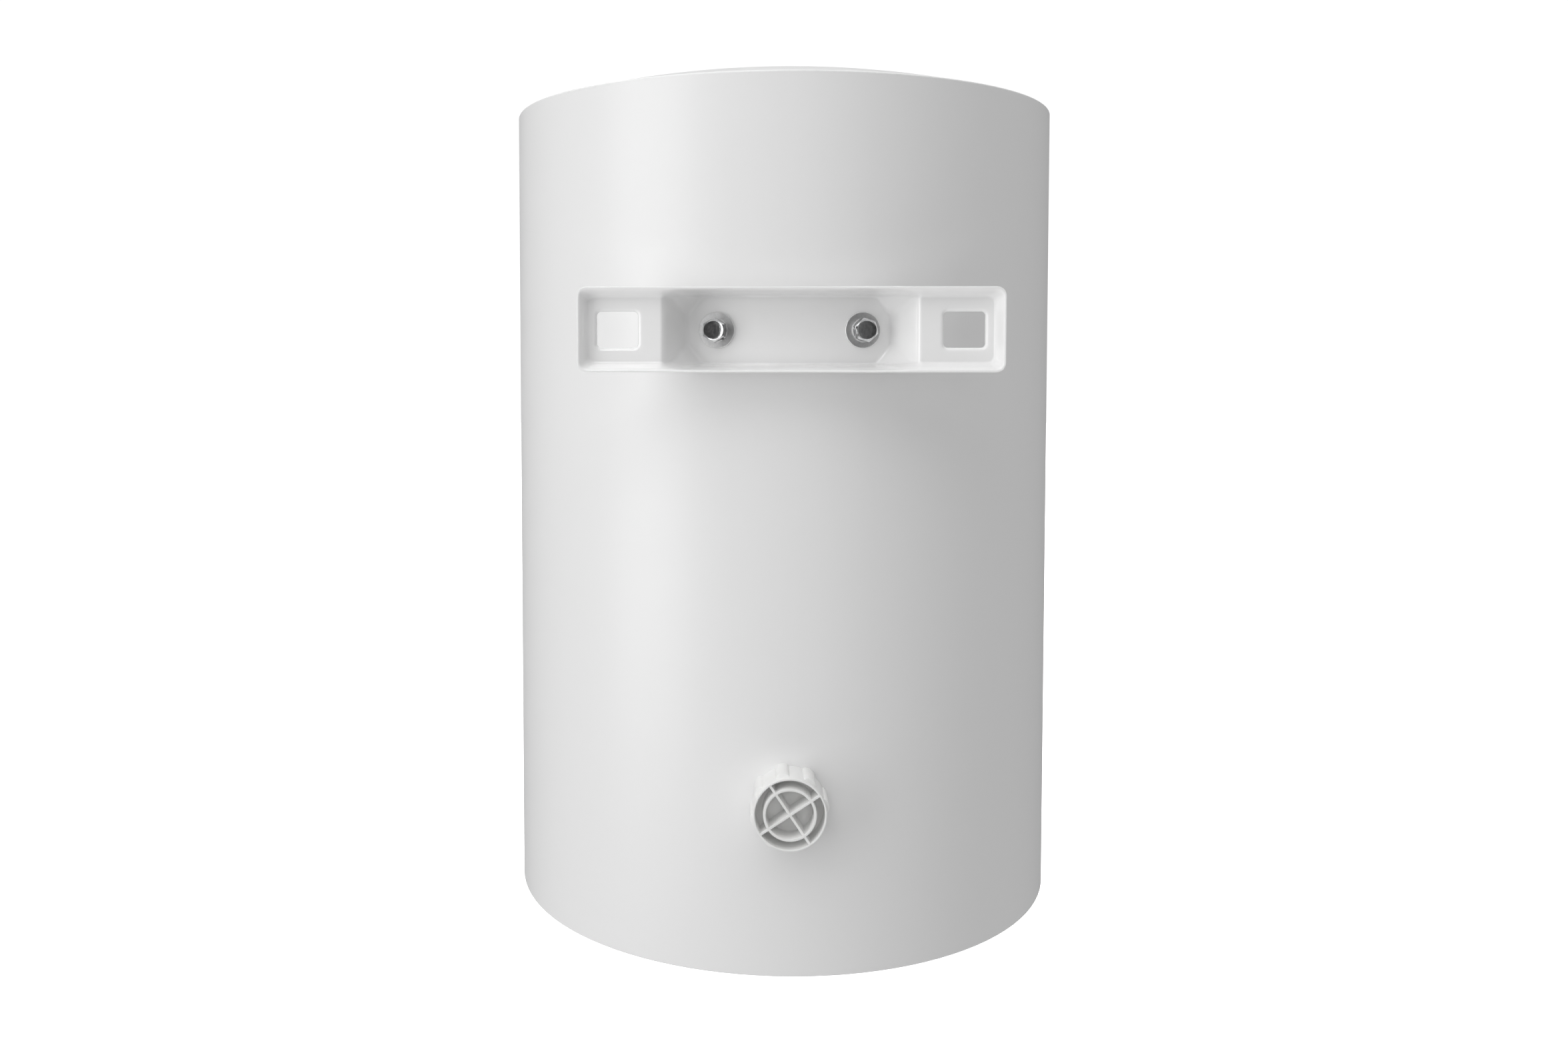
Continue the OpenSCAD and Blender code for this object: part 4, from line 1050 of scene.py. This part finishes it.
def thermostat_knob():
    """Hollow-backed knob with a fluted skirt and a tapered grip bar."""
    height = KNOB_HIGH.z - KNOB_LOW.z - GRIP_H
    matrix = plan_matrix(KNOB_U, KNOB_V, KNOB_LOW.z + GRIP_H)
    profile = fillet([(0, 0.5), (KNOB_R - 5, 0.5), (KNOB_R - 3.6, 0), (KNOB_R, 0), (KNOB_R, height),
                      (KNOB_R - 2.4, height), (KNOB_R - 2.8, 5), (6.4, 5), (6, height),
                      (3.1, height), (3.1, 2.4), (0, 2.4)],
                     [0, 1.2, 0.8, 1.2, 0.5, 0.4, 1, 1, 0.4, 0.2, 0.2, 0])

    def fluted(r, h, a):
        if r < KNOB_R - 1.6:
            return r
        band = smooth_step((h - 0.8) / 1.4) * smooth_step((height - 0.6 - h) / 0.8)
        return r - 0.75 * band * smooth_step(cos(28 * a) * 0.5 + 0.5)

    skirt = [(KNOB_R, h) for h in (1.6, 2.4, 4, 6, 8, height - 1.6, height - 1)]
    turn = next(i for i, (r, h) in enumerate(profile) if h > height - 1 and r > KNOB_R - 1)
    profile = profile[:turn] + [Vector(p) for p in skirt] + profile[turn:]
    knob = Shape().revolve(profile, sides=336, radius_of=fluted).build("thermostat_knob_fluted")
    half = KNOB_R - 1.2
    outline = fillet([(-2.5, -half), (2.5, -half), (1.7, half), (-1.7, half)], [1.4, 1.4, 1, 1])
    bar = Shape().slab(outline, -1.0, GRIP_H - 0.1, Matrix.Rotation(pi, 4, "Y"), edge=0.6)
    boolean(knob, bar.build("knob_bar"), "UNION")
    place(knob, matrix, 32)
    piece(knob, "white_plastic_knob", "thermostat_knob", "thermostat_dial")
    line = fillet([(-0.5, half - 8), (0.5, half - 8), (0.5, half - 1.6), (-0.5, half - 1.6)],
                  [0.3] * 4, 3)
    mark = Shape().slab(line, GRIP_H - 0.3, GRIP_H - 0.05, matrix @ Matrix.Rotation(pi, 4, "Y"))
    piece(mark.build("thermostat_knob_mark"), "black_plastic", body="thermostat_dial", material=INK)


def lamp_lens():
    profile = [(0, -1.2), (1.6, -1.17), (3.2, -1.05), (4.6, -0.82), (5.6, -0.5), (6.1, -0.18),
               (6.2, 0), (3.95, 0), (3.95, 8), (0, 8)]
    shape = Shape().revolve(profile, plan_matrix(LENS_U, LENS_V, COVER_Z), 72)
    piece(shape.build("lamp_lens_domed"), "red_lens", "lamp_lens")


def cord_gland():
    """Gland with a knurled collar and a rounded mouth."""
    profile = fillet([(4.2, -12), (9, -12), (9, -8.2), (10.5, -8.2), (10.5, -0.05), (7.4, -0.05),
                      (7.4, 10), (4.2, 10)], [1.0, 2.2, 0.4, 0.6, 0.4, 0.2, 0.4, 0.3])
    knurl = [Vector((10.5, h)) for h in (-6.6, -4, -1.4)]
    turn = next(i for i, (r, h) in enumerate(profile) if h > -1.2 and r > 10)
    profile = profile[:turn] + knurl + profile[turn:]
    shape = Shape().revolve(profile, plan_matrix(GLAND_U, GLAND_V, COVER_Z), 216,
                            grip_notches(0.6, 18, 9.9))
    piece(shape.build("cord_gland_knurled", 35), "white_plastic_gland", "gland_body")


def cover_screws():
    """Pan-head screws with a cross recess, down in the cover's wells."""
    head = SCREW_HEAD_H
    profile = [(0, -head), (1.6, -head + 0.06), (2.8, -head + 0.4), (3.4, -head + 0.95),
               (SCREW_HEAD_R, -head + 1.6), (SCREW_HEAD_R, -0.15), (SCREW_HEAD_R - 0.15, 0), (1.95, 0)]
    for k in range(9):
        profile += [(1.95, 0.4 + 1.4 * k), (1.5, 1.1 + 1.4 * k)]
    profile.append((0, 12.9))
    screws = Shape()
    slots = Shape()
    for side, turn in ((-1, 20), (1, 65)):
        matrix = turned(plan_matrix(side * SCREW_U, SCREW_V, SCREW_SEAT), turn)
        screws.revolve(profile, matrix, 60)
        arm = 2.1
        half = 0.5
        cross = [(-half, -arm), (half, -arm), (half, -half), (arm, -half), (arm, half), (half, half),
                 (half, arm), (-half, arm), (-half, half), (-arm, half), (-arm, -half), (-half, -half)]
        slots.slab(cross, -head - 1, -head + 1.3, matrix)
    obj = screws.build("cover_screws_cross_head")
    boolean(obj, slots.build("screw_slots"), "DIFFERENCE")
    shade(obj.data, 35)
    piece(obj, "zinc_plate", "cover_screws")


# ---- thermometer ----

BEZEL_LOW, BEZEL_HIGH = box_mm("gauge_bezel")
GAUGE_Z = (BEZEL_LOW.z + BEZEL_HIGH.z) / 2
GAUGE_R = (BEZEL_HIGH.x - BEZEL_LOW.x) / 2
DIAL_R = 19.95
DIAL_FACE = -3.7
POINTER_BASE = -3.0
NUMBER_R = 10.6
GAUGE_TOP_VALUE = 80


def gauge_matrix(lift):
    """Stands a piece on the thermometer's axis, at a height above the casing."""
    return radial_matrix(180, BODY_R + lift, GAUGE_Z)


def scale_angle(value):
    """Angle of a temperature on the dial, from the matrix's X, in degrees."""
    return -45 - SCALE_SWEEP * value / GAUGE_TOP_VALUE


def gauge_bezel():
    profile = fillet([(23, 0), (GAUGE_R, 0), (GAUGE_R, 1.9), (25.2, 3), (23.4, 3), (21, 2.4),
                      (21, 2.15), (23, 2.15)], [0.1, 0.5, 0.7, 0.9, 0.8, 0.15, 0.1, 0.1], 6)
    shape = Shape().revolve(profile, gauge_matrix(3), 192)
    piece(shape.build("gauge_bezel_rolled"), "chrome_bezel", "gauge_bezel")


def gauge_dial():
    """The dial, and its printed ticks, coloured bands and numbers a little above it."""
    profile = fillet([(2.2, 0), (DIAL_R, 0), (DIAL_R, 0.8), (DIAL_R - 0.6, 0.72), (2.2, 0.72)],
                     [0.1, 0.1, 0.2, 0.2, 0.2], 3)
    shape = Shape().revolve(profile, gauge_matrix(DIAL_FACE - 0.8), 144)
    piece(shape.build("gauge_dial_plate"), "dial_white", "gauge_dial")
    face = gauge_matrix(DIAL_FACE)
    ticks = Shape()
    for value in range(0, GAUGE_TOP_VALUE + 1, 2):
        major = value % 10 == 0
        half = 0.26 if major else 0.13
        inner = 15.4 if major else 16.9
        outline = [(inner, -half), (18.6, -half), (18.6, half), (inner, half)]
        ticks.slab(outline, -0.1, 0.03, turned(face, scale_angle(value)))
    piece(ticks.build("gauge_scale_ticks"), "black_plastic", material=INK)
    for name, ink, slot, low, high in (("gauge_band_cold", INK_BLUE, "blue_plastic", 0, 30),
                                       ("gauge_band_hot", INK_RED, "red_plastic", 60, 80)):
        band = Shape()
        ring_sector(band, face, 13.4, 14.6, scale_angle(low), scale_angle(high), -0.1, 0.03)
        piece(band.build(name), slot, material=ink)
    numbers = [gauge_number(value, face) for value in range(0, GAUGE_TOP_VALUE + 1, 20)]
    bm = bmesh.new()
    for mesh in numbers:
        bm.from_mesh(mesh)
    joined = tidy_object("gauge_scale_numbers", new_mesh("gauge_scale_numbers", bm), 30)
    piece(joined, "black_plastic", material=INK)


def gauge_number(value, face):
    """One upright number inside the scale."""
    curve = bpy.data.curves.new("number", "FONT")
    curve.body = str(value)
    curve.size = 3.6 * MM
    curve.align_x = "CENTER"
    curve.align_y = "CENTER"
    curve.extrude = 0.05 * MM
    text = bpy.data.objects.new("number", curve)
    spot = face @ Matrix.Translation(polar(NUMBER_R, radians(scale_angle(value)), 0))
    upright = Matrix(((0, -1, 0), (1, 0, 0), (0, 0, 1))).to_4x4()
    mesh = bpy.data.meshes.new_from_object(text)
    mesh.transform(in_metres(spot @ upright))
    bpy.data.objects.remove(text)
    return mesh


def gauge_pointer():
    """Tapered pointer with a domed hub and its shaft, lying over the cold end at rest."""
    hub = Shape().revolve([(0, -7.4), (1.5, -7.4), (1.5, -0.05), (2.9, -0.05), (3, 0.1), (3, 0.7),
                           (2.7, 0.98), (2, 1.12), (1, 1.19), (0, 1.2)], sides=72)
    pointer = hub.build("gauge_pointer_tapered")
    outline = fillet([(-5, -1.4), (-1.5, -0.8), (12, -0.5), (16, -0.05), (16, 0.05), (12, 0.5),
                      (-1.5, 0.8), (-5, 1.4)], [0.5, 0.5, 0.5, 0.04, 0.04, 0.5, 0.5, 0.5], 3)
    blade = Shape().slab(outline, 0.25, 0.7, Matrix.Rotation(radians(-45), 4, "Z"))
    boolean(pointer, blade.build("pointer_blade"), "UNION")
    place(pointer, gauge_matrix(POINTER_BASE), 35)
    piece(pointer, "black_plastic", "gauge_pointer", "gauge_needle")


def gauge_window():
    profile = [(0, 0.05), (22.7, 0.05), (22.85, 0.2), (22.85, 0.9), (22.7, 1.05), (0, 1.05)]
    shape = Shape().revolve(profile, gauge_matrix(4), 144)
    piece(shape.build("gauge_window_pane"), "clear_window", "gauge_window")


wall_bracket()
flat_washers()
spring_washers()
bracket_bolts()
wall_spacer()
water_pipes()
pipe_collar("cold_pipe_collar", "cold_collar", 1, "blue_plastic")
pipe_collar("hot_pipe_collar", "hot_collar", -1, "red_plastic")
service_cover()
cover_scale()
thermostat_knob()
lamp_lens()
cord_gland()
cover_screws()
gauge_bezel()
gauge_dial()
gauge_pointer()
gauge_window()


# ---- studio ----

CAMERA_PLACE = Vector((0.0251, 0.7676, -0.0124))
CAMERA_YAW = 0.0176
CAMERA_PITCH = 0.047
CAMERA_LENS = 30.25
CAMERA_SHIFT_X = 0.0378
CAMERA_SHIFT_Y = -0.07
FLOOR_DROP = 1.3
FLOOR_HALF = 30.0
LIGHT_TARGET = Vector((0, AXIS_Y * MM, -0.12))
LIGHT_DISTANCE = 1.9
# each is an axis of the ray's direction, the range over which its light rises, and its strength
WORLD_LIGHT = (("Z", 0.35, 0.8, 1.5), ("Z", -0.35, -0.8, 1.2), ("Y", 0.3, 0.8, 0.07),
               ("Y", 0.1, -0.25, 0.35), ("X", -0.3, -0.8, 0.15))


def aim(obj, direction):
    """Points a camera or a light along a direction."""
    obj.rotation_mode = "QUATERNION"
    obj.rotation_quaternion = direction.to_track_quat("-Z", "Y")


def camera():
    data = bpy.data.cameras.new("camera")
    data.lens = CAMERA_LENS
    data.sensor_width = 36.0
    data.shift_x = CAMERA_SHIFT_X
    data.shift_y = CAMERA_SHIFT_Y
    data.clip_start = 0.01
    data.clip_end = 100.0
    obj = new_object("camera", data)
    obj.location = CAMERA_PLACE
    aim(obj, Vector((sin(CAMERA_YAW) * cos(CAMERA_PITCH), -cos(CAMERA_YAW) * cos(CAMERA_PITCH),
                     -sin(CAMERA_PITCH))))
    bpy.context.scene.camera = obj


def studio_floor():
    """Pale floor far below the hanging heater, wide enough to reach the horizon."""
    bm = bmesh.new()
    bmesh.ops.create_grid(bm, x_segments=12, y_segments=12, size=FLOOR_HALF)
    obj = new_object("studio_floor", new_mesh("studio_floor", bm))
    obj.location = (0, 0, RIM_BOTTOM * MM - FLOOR_DROP)
    s = Surface("floor_paint", (0.93, 0.93, 0.93), 0.7, Emission_Color=(1, 1, 1, 1),
                Emission_Strength=1.0)
    s.mottle((0.9, 0.9, 0.9), 0.4, 300, 3, 0.35, 0.7)
    obj.data.materials.append(s.material)
    obj.visible_diffuse = False
    obj.visible_glossy = False


def studio_world():
    """White for the camera; as light, a bright ceiling and floor between dim walls."""
    world = bpy.data.worlds.new("studio")
    bpy.context.scene.world = world
    world.use_nodes = True
    nodes = world.node_tree.nodes
    link = world.node_tree.links.new
    nodes.clear()
    ray = nodes.new("ShaderNodeSeparateXYZ")
    link(nodes.new("ShaderNodeTexCoord").outputs["Generated"], ray.inputs["Vector"])
    glows = []
    for axis, low, high, strength in WORLD_LIGHT:
        band = set_inputs(nodes.new("ShaderNodeMapRange"), From_Min=low, From_Max=high, To_Max=strength)
        band.interpolation_type = "SMOOTHSTEP"
        link(ray.outputs[axis], band.inputs["Value"])
        glows.append(band.outputs["Result"])
    total = glows[0]
    for part in glows[1:]:
        add = nodes.new("ShaderNodeMath")
        add.operation = "ADD"
        link(total, add.inputs[0])
        link(part, add.inputs[1])
        total = add.outputs["Value"]
    lit = nodes.new("ShaderNodeBackground")
    link(total, lit.inputs["Strength"])
    seen = set_inputs(nodes.new("ShaderNodeBackground"), Color=(1, 1, 1, 1), Strength=1.05)
    mix = nodes.new("ShaderNodeMixShader")
    link(nodes.new("ShaderNodeLightPath").outputs["Is Camera Ray"], mix.inputs["Fac"])
    link(lit.outputs["Background"], mix.inputs[1])
    link(seen.outputs["Background"], mix.inputs[2])
    link(mix.outputs["Shader"], nodes.new("ShaderNodeOutputWorld").inputs["Surface"])


def studio_light(name, azimuth, elevation, width, height, power):
    """A soft box aimed at the heater; azimuth is from +Y towards +X, in degrees."""
    a = radians(azimuth)
    e = radians(elevation)
    data = bpy.data.lights.new(name, "AREA")
    data.shape = "RECTANGLE"
    data.size = width
    data.size_y = height
    data.energy = power
    obj = new_object(name, data)
    obj.location = LIGHT_TARGET + Vector((sin(a) * cos(e), cos(a) * cos(e), sin(e))) * LIGHT_DISTANCE
    aim(obj, LIGHT_TARGET - obj.location)
    return obj


def studio_lights():
    studio_light("key_above", 30, 42, 1.2, 1.2, 3.9)
    studio_light("tall_side", 54, 4, 1.1, 1.7, 15.2)
    fill = studio_light("front_fill", 2, 2, 1.3, 1.6, 6.6)
    fill.visible_glossy = False
    glint = studio_light("small_glint", 15, 48, 0.35, 0.35, 1.6)
    glint.visible_diffuse = False


bpy.context.scene.view_settings.view_transform = "Standard"
camera()
studio_floor()
studio_world()
studio_lights()
